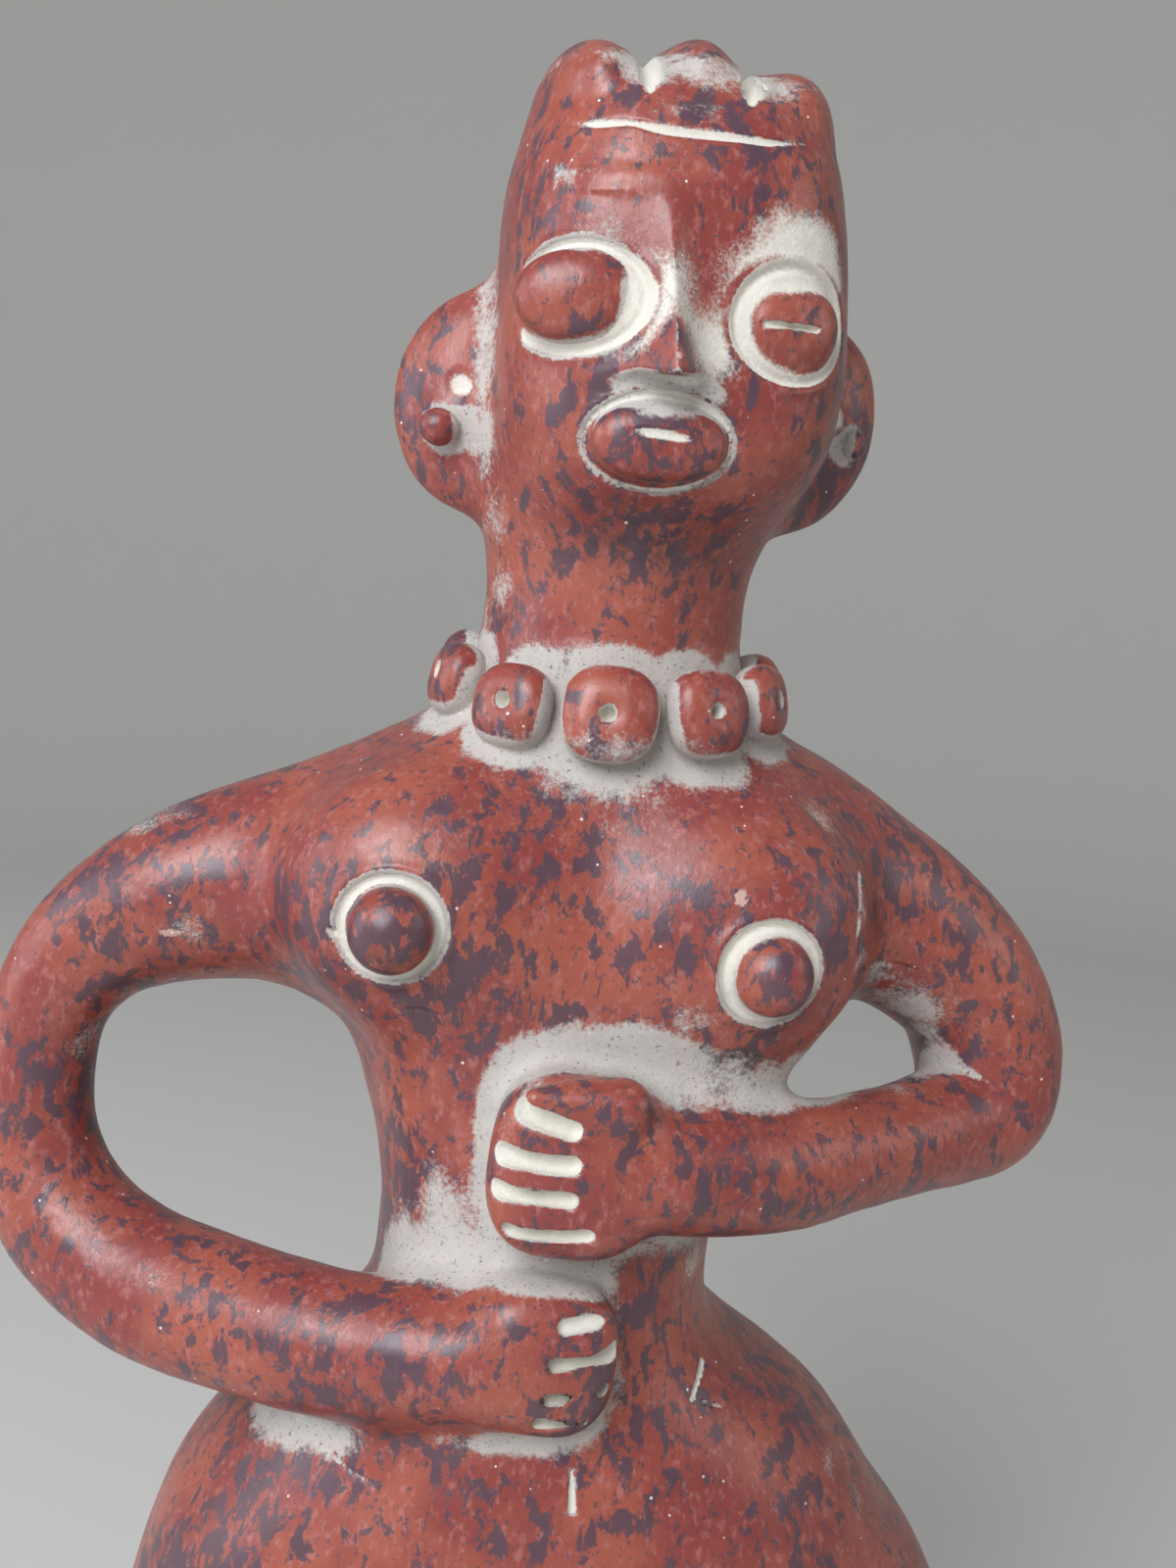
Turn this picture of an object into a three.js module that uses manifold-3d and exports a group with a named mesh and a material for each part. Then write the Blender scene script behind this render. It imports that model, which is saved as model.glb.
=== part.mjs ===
// Standing female figurine in the manner of the old red-slipped clay figures of
// western Mexico: hand-modelled, hollow, fired clay in one piece, on a low base.
//
// Millimetres, +Z up. The figure faces -Y, +X is to the right of someone who
// looks at its face, and the flat underside of the base is at z = 0.
//
// The clay body is one smooth shape: lofted sections (legs, hips, torso, neck,
// head), limbs swept along curves, and ellipsoids for the rounded masses, all
// merged with small fillets the way soft clay is joined. It is meshed once as a
// surface, thinned where it is flat, and the applied clay pellets (necklace,
// eyes, mouth, nipples) and the cuts (fingers, toes, slits, hair) are joined to
// it and taken from it afterwards.

import * as THREE from 'three';
import { mergeVertices } from 'three/addons/utils/BufferGeometryUtils.js';
import Module from 'manifold-3d';

// ---------------------------------------------------------------- sizes, mm

const GRID = 3.0;              // spacing of the first surface mesh
const BODY_TRIANGLES = 5250;   // what is left of it after thinning

const BASE = { halfWidth: 60, halfDepth: 44, height: 9, fillet: 5 };

// Section rows: z, left x, right x, front y, back y, roundness in front, behind
// (2 is an ellipse, more is squarer).
const TORSO_ROWS = [
  [6, -35, 37, -20, 16, 2.3, 2.3],
  [16, -36, 38.5, -21.5, 18, 2.3, 2.3],
  [30, -42, 45.5, -24.5, 22.5, 2.3, 2.3],
  [50, -53, 58, -31, 31, 2.3, 2.3],
  [70, -64.5, 70.5, -38.5, 40, 2.3, 2.3],
  [86, -71.8, 79.4, -43.5, 46, 2.3, 2.3],
  [100, -74.8, 83.6, -46.8, 49, 2.3, 2.3],   // widest of the hips
  [110, -74.6, 82.6, -47.8, 49.6, 2.3, 2.3],
  [120, -73.2, 79.0, -48, 49.5, 2.3, 2.3],
  [130, -70.6, 73.6, -47.8, 48.6, 2.3, 2.3],
  [141, -66.8, 65, -47, 47, 2.3, 2.3],
  [148, -62.3, 60.5, -45.5, 44.5, 2.3, 2.3],
  [156, -56.7, 54.5, -43.5, 40, 2.25, 2.25],
  [165, -48, 44.9, -41, 34, 2.2, 2.2],
  [173, -39, 33.5, -38.5, 29.5, 2.2, 2.2],
  [180, -34.5, 26.8, -37, 27.5, 2.2, 2.2],
  [187, -33, 25.3, -36, 27, 2.2, 2.2],       // waist
  [197, -33, 26, -35, 27.5, 2.2, 2.2],
  [208, -34.6, 27.5, -34.5, 29, 2.2, 2.2],
  [219, -38, 32, -35, 30, 2.2, 2.2],
  [229, -41, 37.5, -36, 31, 2.25, 2.25],
  [243, -45, 45, -36, 31.5, 2.3, 2.3],       // chest
  [256, -47, 47, -34, 31, 2.3, 2.3],
  [266, -44, 44.5, -31, 29, 2.2, 2.2],
  [274, -37, 38, -28, 26, 2.1, 2.1],
  [281, -30, 30, -25.5, 24, 2.0, 2.0],
  [288, -25, 24.6, -23.5, 22.5, 2.0, 2.0],
  [296, -22.9, 22.2, -22.3, 21.5, 2.0, 2.0],
  [307, -21.6, 21.2, -21.5, 21, 2.0, 2.0],   // neck
  [318, -22, 21.5, -21.5, 21, 2.0, 2.0],
  [330, -22, 23, -21, 20, 2.0, 2.0],
];
const HEAD_ROWS = [
  [297, -12, 12, -12, 13, 2.0, 2.0],
  [305, -17, 17, -17.5, 19, 2.0, 2.0],
  [311, -19.8, 19.8, -22.5, 23.5, 2.1, 2.0],
  [317, -21.2, 24, -29, 27, 2.3, 2.1],       // chin
  [324, -22.6, 28.4, -34.5, 29.5, 2.6, 2.2],
  [333, -23.6, 31.2, -36.5, 30.5, 3.0, 2.25],
  [343, -24.4, 31.6, -36.8, 31, 3.2, 2.3],
  [355, -24.8, 31.0, -36.8, 31, 3.1, 2.3],   // eyes
  [366, -24.6, 29.8, -36, 30, 2.8, 2.3],
  [374, -23.4, 28.4, -34, 28, 2.6, 2.3],     // hairline
  [380, -21.6, 26.6, -30.5, 25, 2.5, 2.3],
  [384.5, -18.5, 23.5, -25.5, 20.5, 2.3, 2.2],
  [387.6, -14, 18.5, -18, 14, 2.1, 2.1],
  [389.4, -7, 11, -8, 6, 2.0, 2.0],
];

// Gap between the legs: centre, half width at the feet and where it closes.
const LEG_GAP = { x: 1, bottom: 5.5, top: 0.8, closes: 84, fillet: 9 };
const FEET = [
  { at: [-21, -15, 12.5], half: [14.5, 26, 10] },
  { at: [23, -15, 12.5], half: [14.5, 26, 10] },
];

// Arms: x, y, z and radius down the middle of each limb, shoulder to wrist.
const LEFT_ARM = [
  [-20, 4, 256, 25], [-40, 3, 252, 22], [-56, 2, 250.5, 17.8], [-70, 1, 247, 15],
  [-82, 0, 240.5, 11.8], [-90, 0, 230, 10], [-92.8, 0, 217, 9.3], [-92.5, -1, 203, 9.8],
  [-87, -4, 191, 11.2], [-76, -9.5, 183.5, 12], [-62, -17, 181, 12], [-47, -25, 180.5, 11.7],
  [-33, -31.5, 181.5, 11], [-20, -36.5, 183.3, 10.3],
];
const RIGHT_ARM = [
  [20, 4, 258, 25], [38, 3, 255, 21.5], [52, 2, 251.5, 17], [64, 1.5, 245, 15],
  [73, 1, 237, 14], [77.5, 0, 226, 13.6], [76.5, -2.5, 217, 12.6], [69, -7.5, 214.3, 11],
  [58, -15, 214, 10], [46, -22, 213.8, 10], [34, -28.5, 213.8, 10.4], [21, -34, 214.5, 10.6],
  [10, -38, 215.5, 9.8],
];
const ARM_DEPTH = 0.95;        // the limbs are a little flattened front to back

const BREASTS = [
  { at: [-31.5, -22, 254.5], half: [20, 14.5, 18.5] },
  { at: [22.5, -24, 252], half: [19, 14.5, 18] },
];
const HANDS = [
  { at: [-4.6, -40, 217], half: [13.4, 7.6, 14.8], turn: 0.05 },
  { at: [-7.6, -40.5, 185.4], half: [12.2, 7.6, 12.2], turn: 0.12 },
];
const EARS = [
  { at: [-25, 1, 334.8], half: [15.4, 6.5, 18.6], faces: [-0.25, -1, 0], turn: 0.05 },
  { at: [29, 1, 336], half: [14.8, 6.5, 18.6], faces: [0.25, -1, 0], turn: 0.25 },
];
const HAIR_LOBES = [
  { at: [-10.2, -4, 381.2], half: [9.8, 24, 9.8] },
  { at: [3.3, -4, 381.8], half: [9.3, 24, 11.0] },
  { at: [17.4, -4, 379.6], half: [9.4, 23, 9.6] },
];
const NOSE = {
  top: 363, bottom: 337.2, topX: -2.4, tipX: -0.6,
  topHalf: 2.2, bottomHalf: 8.2, topY: -36, tipY: -47.2, faceY: -35.5,
};

// Applied clay
const EYES = [
  { at: [-14.6, -32.4, 347.9], half: [9.3, 4.6, 6.8], faces: [-0.14, -1, 0.02], turn: -0.06 },
  { at: [17.6, -31.9, 347.0], half: [8.4, 4.6, 7.2], faces: [0.24, -1, 0.02], turn: 0.03 },
];
const MOUTH = { at: [-0.8, -35.2, 328.0], half: [10.1, 4.6, 6.0], faces: [0, -1, 0], turn: -0.03 };
const NIPPLES = [
  { at: [-35.4, -37.6, 252.0], radius: 6.9 },
  { at: [23.9, -39.2, 248.6], radius: 6.7 },
];
const NECKLACE = {
  halfX: 27.2, halfY: 25.4, centreY: -2.2, tilt: 0.2, holeRadius: 1.8, halfThickness: 4.4,
  // angle round the neck from the front (degrees), height, radius of the bead
  beads: [
    [-80, 288.2, 6.4], [-42, 285.8, 6.8], [-7, 286.0, 7.8], [28, 287.0, 7.2], [62, 288.6, 6.4],
    [100, 290, 6], [139, 291, 6], [180, 291, 6], [-151, 291, 6], [-116, 290, 6],
  ],
};

// Cuts, each a short round-ended groove: start, end, radius
const GROOVES = [
  // fingers of the upper hand, which end on its left
  [[-14.6, -44.4, 226.6], [-5.8, -47.2, 225.2], 1.7],
  [[-18.2, -43.6, 219.8], [-5.8, -47.4, 219.2], 1.5],
  [[-18.6, -43.6, 214.2], [-5.6, -47.4, 213.8], 1.5],
  [[-14.8, -44.4, 208.0], [-2.4, -47.4, 208.0], 1.5],
  // fingers of the lower hand, which end on its right
  [[4.0, -44.4, 194.4], [-4.8, -47.6, 193.4], 1.5],
  [[3.8, -44.2, 188.6], [-5.8, -47.6, 187.6], 1.5],
  [[2.0, -44.4, 182.6], [-6.4, -47.6, 182.0], 1.4],
  [[-0.6, -44.6, 177.6], [-7.6, -47.2, 177.8], 1.3],
  // eye slits and the mouth
  [[-20.6, -36.2, 348.4], [-9.9, -37.2, 347.2], 0.9],
  [[12.8, -36.6, 346.6], [22.2, -34.8, 346.8], 0.9],
  [[-7.7, -39.9, 329.2], [6.3, -39.9, 328.2], 1.1],
  // toes
  [[-29.5, -38, 13.5], [-28.5, -30, 19.5], 1.3], [[-24.0, -42, 14], [-23.4, -33, 21], 1.3],
  [[-18.4, -42, 14], [-18.6, -33, 21], 1.3], [[-12.8, -38, 13.5], [-13.8, -30, 19.5], 1.3],
  [[31.5, -38, 13.5], [30.5, -30, 19.5], 1.3], [[26.0, -42, 14], [25.4, -33, 21], 1.3],
  [[20.4, -42, 14], [20.6, -33, 21], 1.3], [[14.8, -38, 13.5], [15.8, -30, 19.5], 1.3],
];
// The two deep notches between the hair lobes, as thin upright blades
const NOTCHES = [
  { at: [-4.6, -15, 386.5], half: [1.3, 15, 8.5] },
  { at: [11.4, -15, 385.0], half: [1.3, 15, 8.0] },
];
const EAR_PITS = [
  { at: [-31.4, -7.0, 336.6], half: [4.6, 3.6, 4.4] },
  { at: [36.2, -7.0, 337.4], half: [3.6, 3.6, 4.2] },
];
const EAR_PELLETS = [
  { at: [-32.6, -5.6, 329.4], half: [3.1, 2.6, 3.0] },
  { at: [38.6, -2.6, 333.2], half: [2.2, 3.0, 2.6] },
];
const NAVEL = [[-1.2, -42.6, 168.6], [-0.6, -44.2, 163.2], 0.9];

// ---------------------------------------------------------------- blending

const clamp = (v, lo, hi) => Math.min(Math.max(v, lo), hi);
// Distances are negative inside. join, trim and carve leave a fillet of size k.
function join(a, b, k) {
  const h = Math.max(k - Math.abs(a - b), 0) / k;
  return Math.min(a, b) - h * h * k * 0.25;
}
const trim = (a, b, k) => -join(-a, -b, k);
const carve = (a, b, k) => -join(-a, b, k);

// Monotone cubic through (xs, ys), used for every section table.
function monotone(xs, ys) {
  const n = xs.length;
  const h = [], s = [], m = new Array(n).fill(0);
  for (let i = 0; i < n - 1; i++) { h.push(xs[i + 1] - xs[i]); s.push((ys[i + 1] - ys[i]) / h[i]); }
  for (let i = 1; i < n - 1; i++) {
    if (s[i - 1] * s[i] > 0) {
      const w1 = 2 * h[i] + h[i - 1], w2 = h[i] + 2 * h[i - 1];
      m[i] = (w1 + w2) / (w1 / s[i - 1] + w2 / s[i]);
    }
  }
  m[0] = s[0]; m[n - 1] = s[n - 2];
  return (q) => {
    q = clamp(q, xs[0], xs[n - 1]);
    let i = 0;
    while (i < n - 2 && q > xs[i + 1]) i++;
    const t = (q - xs[i]) / h[i], t2 = t * t, t3 = t2 * t;
    return (2 * t3 - 3 * t2 + 1) * ys[i] + (t3 - 2 * t2 + t) * h[i] * m[i]
      + (-2 * t3 + 3 * t2) * ys[i + 1] + (t3 - t2) * h[i] * m[i + 1];
  };
}

// An upright mass of rounded sections between two heights.
class Loft {
  constructor(rows, step = 0.5) {
    this.low = rows[0][0];
    this.high = rows[rows.length - 1][0];
    this.step = step;
    const zs = rows.map((r) => r[0]);
    const count = Math.ceil((this.high - this.low) / step) + 1;
    const smooth = (v) => v.map((_, i) => {
      let sum = 0, weight = 0;
      for (let k = -4; k <= 4; k++) {
        const w = 5 - Math.abs(k);
        sum += w * v[clamp(i + k, 0, v.length - 1)];
        weight += w;
      }
      return sum / weight;
    });
    const column = (c) => {
      const f = monotone(zs, rows.map((r) => r[c]));
      const v = Array.from({ length: count }, (_, i) => f(this.low + i * step));
      return smooth(smooth(v));
    };
    const [xl, xr, yf, yb, nf, nb] = [1, 2, 3, 4, 5, 6].map(column);
    const half = (p, q, sign) => p.map((v, i) => (q[i] + sign * v) / 2);
    this.cx = half(xl, xr, 1); this.a = half(xl, xr, -1);
    this.cy = half(yf, yb, 1); this.b = half(yf, yb, -1);
    this.nf = nf; this.nb = nb;
  }

  distance(x, y, z) {
    const f = (clamp(z, this.low, this.high) - this.low) / this.step;
    const i = Math.min(Math.floor(f), this.cx.length - 2), w = f - i;
    const at = (t) => t[i] * (1 - w) + t[i + 1] * w;
    const slope = (t) => (t[i + 1] - t[i]) / this.step;
    const a = at(this.a), b = at(this.b);
    const dx = x - at(this.cx), dy = y - at(this.cy);
    const n = dy > 0 ? at(this.nb) : at(this.nf);
    const u = Math.abs(dx) / a + 1e-9, v = Math.abs(dy) / b + 1e-9;
    const un = Math.pow(u, n), vn = Math.pow(v, n);
    const k = Math.pow(un + vn, 1 / n), kn = Math.pow(k, n - 1);
    const kx = Math.sign(dx) * un / u / kn / a;
    const ky = Math.sign(dy) * vn / v / kn / b;
    const kz = -kx * slope(this.cx) - ky * slope(this.cy)
      - (un * slope(this.a) / a + vn * slope(this.b) / b) / kn;
    const g = Math.max(Math.hypot(kx, ky, kz), 0.6 / Math.max(a, b));
    return (k - 1) / g;
  }
}

// A limb: a spline through the centres, with a spline of radii along it.
class Limb {
  constructor(rows, perSpan = 3) {
    const path = new THREE.CatmullRomCurve3(
      rows.map((r) => new THREE.Vector3(r[0], r[1], r[2])), false, 'catmullrom', 0.5);
    const girth = new THREE.CatmullRomCurve3(
      rows.map((r) => new THREE.Vector3(r[3], 0, 0)), false, 'catmullrom', 0.5);
    const n = (rows.length - 1) * perSpan;
    this.nodes = Array.from({ length: n + 1 }, (_, i) => {
      const p = path.getPoint(i / n);
      return [p.x, p.y, p.z, girth.getPoint(i / n).x];
    });
  }

  distance(x, y, z) {
    let best = Infinity;
    for (let i = 0; i < this.nodes.length - 1; i++) {
      const [ax, ay, az, ar] = this.nodes[i], [bx, by, bz, br] = this.nodes[i + 1];
      const ux = bx - ax, uy = by - ay, uz = bz - az;
      const px = x - ax, py = y - ay, pz = z - az;
      const t = clamp((px * ux + py * uy + pz * uz) / (ux * ux + uy * uy + uz * uz), 0, 1);
      const d = Math.hypot(px - t * ux, (py - t * uy) / ARM_DEPTH, pz - t * uz)
        - (ar + t * (br - ar));
      if (d < best) best = d;
    }
    return best;
  }
}

// Axes of something that lies on the surface and faces a direction, turned in
// its own plane. Returned as a matrix whose columns are across, outward, up.
function facing(direction, turn = 0) {
  const out = new THREE.Vector3(...direction).normalize();
  const across = new THREE.Vector3().crossVectors(out, new THREE.Vector3(0, 0, 1)).normalize();
  const up = new THREE.Vector3().crossVectors(across, out);
  const a = across.clone().multiplyScalar(Math.cos(turn)).addScaledVector(up, Math.sin(turn));
  const u = up.clone().multiplyScalar(Math.cos(turn)).addScaledVector(across, -Math.sin(turn));
  return new THREE.Matrix4().makeBasis(a, out, u);
}

function ellipsoid(x, y, z, [cx, cy, cz], [rx, ry, rz]) {
  const px = x - cx, py = y - cy, pz = z - cz;
  const k0 = Math.hypot(px / rx, py / ry, pz / rz);
  const k1 = Math.hypot(px / (rx * rx), py / (ry * ry), pz / (rz * rz)) + 1e-9;
  return k0 * (k0 - 1) / k1;
}
function turned(shape) {
  const m = facing(shape.faces || [0, -1, 0.02], shape.turn || 0).transpose();
  const p = new THREE.Vector3();
  return (x, y, z) => p.set(x - shape.at[0], y - shape.at[1], z - shape.at[2]).applyMatrix4(m);
}
// A squarer ellipsoid for the hands.
function pillow(p, [rx, ry, rz], n) {
  const u = Math.abs(p.x) / rx + 1e-6, v = Math.abs(p.y) / ry + 1e-6, w = Math.abs(p.z) / rz + 1e-6;
  const k = Math.pow(u ** n + v ** n + w ** n, 1 / n);
  const g = Math.hypot((u / k) ** (n - 1) / rx, (v / k) ** (n - 1) / ry, (w / k) ** (n - 1) / rz);
  return (k - 1) / g;
}
// The nose is a wedge: a ridge that runs down and out from between the eyes.
function nose(x, y, z) {
  const n = NOSE;
  const t = clamp((n.top - z) / (n.top - n.bottom), -0.2, 1.1);
  const w = n.topHalf + (n.bottomHalf - n.topHalf) * Math.pow(Math.abs(t), 1.3);
  const cx = n.topX + (n.tipX - n.topX) * t;
  const ridge = n.topY + (n.tipY - n.topY) * Math.pow(clamp(t, 0, 1.1), 0.85);
  const h = Math.max(n.faceY - ridge, 0.3);
  const ax = Math.sqrt((x - cx) ** 2 + 0.8) - 0.3;
  let f = (ax / w + Math.max((n.faceY - y) / h, -0.35) - 1) / Math.hypot(1 / w, 1 / h);
  f = trim(f, (n.bottom - z) + 0.10 * (y + 40), 1.5);
  return trim(f, z - n.top - 2, 2);
}

// ---------------------------------------------------------------- clay body

const torso = new Loft(TORSO_ROWS);
const head = new Loft(HEAD_ROWS);
const leftArm = new Limb(LEFT_ARM);
const rightArm = new Limb(RIGHT_ARM);
const handFrames = HANDS.map(turned);
const earFrames = EARS.map(turned);

// One mass of the body: only worked out near its own box.
const MASSES = [];
function mass(low, high, fillet, reach, distance) {
  MASSES.push({ low, high, fillet, reach, distance });
}
function massAround(shape, fillet, distance) {
  const r = Math.max(...shape.half);
  mass(shape.at.map((v) => v - r), shape.at.map((v) => v + r), fillet, fillet + 4, distance);
}
for (const f of FEET) massAround(f, 6, (x, y, z) => ellipsoid(x, y, z, f.at, f.half));
mass([-26, -39, 297], [34, 33, 391], 9, 14, (x, y, z) =>
  trim(head.distance(x, y, z), Math.max(HEAD_ROWS[0][0] - z, z - head.high), 3));
mass([-104, -48, 166], [5, 30, 283], 10, 14, (x, y, z) => leftArm.distance(x, y, z));
mass([-5, -48, 198], [94, 30, 285], 10, 14, (x, y, z) => rightArm.distance(x, y, z));
for (const b of BREASTS) massAround(b, 14, (x, y, z) => ellipsoid(x, y, z, b.at, b.half));
EARS.forEach((e, i) => massAround(e, 6, (x, y, z) => {
  const p = earFrames[i](x, y, z);
  return ellipsoid(p.x, p.y, p.z, [0, 0, 0], e.half);
}));
HANDS.forEach((h, i) => massAround(h, 4, (x, y, z) => pillow(handFrames[i](x, y, z), h.half, 2.8)));
mass([-12, -50, 334], [10, -30, 366], 3.5, 8, nose);
for (const l of HAIR_LOBES) massAround(l, 2.5, (x, y, z) => ellipsoid(x, y, z, l.at, l.half));

function clay(x, y, z) {
  let d = trim(torso.distance(x, y, z), Math.max(z - 330, 6 - z), 4);
  // legs: a wedge of air that narrows upwards and closes below the belly
  const gap = Math.abs(x - LEG_GAP.x)
    - (LEG_GAP.bottom + (LEG_GAP.top - LEG_GAP.bottom) * clamp(z / LEG_GAP.closes, 0, 1.4));
  d = carve(d, Math.max(gap, (z - LEG_GAP.closes) * 0.8), LEG_GAP.fillet);
  for (const m of MASSES) {
    const r = m.reach;
    if (x < m.low[0] - r || x > m.high[0] + r || y < m.low[1] - r || y > m.high[1] + r
      || z < m.low[2] - r || z > m.high[2] + r) continue;
    d = join(d, m.distance(x, y, z), m.fillet);
  }
  // base: a low oval slab, carried below the floor plane and cut flat later
  const e = ellipsoid(x, y, 0, [0, 0, 0], [BASE.halfWidth, BASE.halfDepth, 1]);
  return join(d, trim(e, Math.max(z - BASE.height, -z - 4), 3), BASE.fillet);
}

// ---------------------------------------------------------------- surface

// Dual surface of the zero level on a regular grid, then each vertex is moved
// onto the level itself.
function surface(distance, low, high, step) {
  const n = low.map((v, i) => Math.ceil((high[i] - v) / step) + 1);
  const id = (i, j, k) => (k * n[1] + j) * n[0] + i;
  const value = new Float64Array(n[0] * n[1] * n[2]);
  for (let k = 0; k < n[2]; k++) for (let j = 0; j < n[1]; j++) for (let i = 0; i < n[0]; i++) {
    value[id(i, j, k)] = distance(low[0] + i * step, low[1] + j * step, low[2] + k * step);
  }
  const vertexOf = new Int32Array(value.length).fill(-1);
  const verts = [], faces = [];
  const corners = [0, 1, 2, 3, 4, 5, 6, 7].map((c) => [c & 1, (c >> 1) & 1, c >> 2]);
  const edges = [];
  for (let a = 0; a < 8; a++) for (let b = a + 1; b < 8; b++) {
    if ([1, 2, 4].includes(a ^ b)) edges.push([a, b]);
  }
  for (let k = 0; k < n[2] - 1; k++) for (let j = 0; j < n[1] - 1; j++) for (let i = 0; i < n[0] - 1; i++) {
    const v = corners.map(([a, b, c]) => value[id(i + a, j + b, k + c)]);
    const p = [0, 0, 0];
    let hits = 0;
    for (const [a, b] of edges) {
      if ((v[a] < 0) === (v[b] < 0)) continue;
      const t = v[a] / (v[a] - v[b]);
      for (let q = 0; q < 3; q++) p[q] += corners[a][q] + t * (corners[b][q] - corners[a][q]);
      hits++;
    }
    if (!hits) continue;
    vertexOf[id(i, j, k)] = verts.length;
    verts.push([low[0] + (i + p[0] / hits) * step, low[1] + (j + p[1] / hits) * step,
      low[2] + (k + p[2] / hits) * step]);
  }
  // a square of four cells round each grid edge that crosses the surface
  const around = [
    [[0, 0, 0], [0, -1, 0], [0, -1, -1], [0, 0, -1]],
    [[0, 0, 0], [0, 0, -1], [-1, 0, -1], [-1, 0, 0]],
    [[0, 0, 0], [-1, 0, 0], [-1, -1, 0], [0, -1, 0]],
  ];
  for (let k = 1; k < n[2] - 1; k++) for (let j = 1; j < n[1] - 1; j++) for (let i = 1; i < n[0] - 1; i++) {
    for (let axis = 0; axis < 3; axis++) {
      const a = value[id(i, j, k)];
      const b = value[id(i + (axis === 0), j + (axis === 1), k + (axis === 2))];
      if ((a < 0) === (b < 0)) continue;
      let q = around[axis].map(([x, y, z]) => vertexOf[id(i + x, j + y, k + z)]);
      if (a >= 0) q = q.reverse();
      const far = (s, t) => Math.hypot(verts[s][0] - verts[t][0], verts[s][1] - verts[t][1],
        verts[s][2] - verts[t][2]);
      if (far(q[0], q[2]) < far(q[1], q[3])) faces.push([q[0], q[1], q[2]], [q[0], q[2], q[3]]);
      else faces.push([q[1], q[2], q[3]], [q[1], q[3], q[0]]);
    }
  }
  return { verts, faces };
}

function settle(verts, distance, rounds, limit) {
  const e = 0.05;
  for (const p of verts) {
    for (let r = 0; r < rounds; r++) {
      const [x, y, z] = p;
      const d = distance(x, y, z);
      const g = [distance(x + e, y, z) - distance(x - e, y, z), distance(x, y + e, z) - distance(x, y - e, z),
        distance(x, y, z + e) - distance(x, y, z - e)].map((v) => v / (2 * e));
      const g2 = Math.max(g[0] ** 2 + g[1] ** 2 + g[2] ** 2, 0.3);
      const move = clamp(d / g2, -limit, limit);
      for (let q = 0; q < 3; q++) p[q] -= g[q] * move;
    }
  }
}

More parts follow.
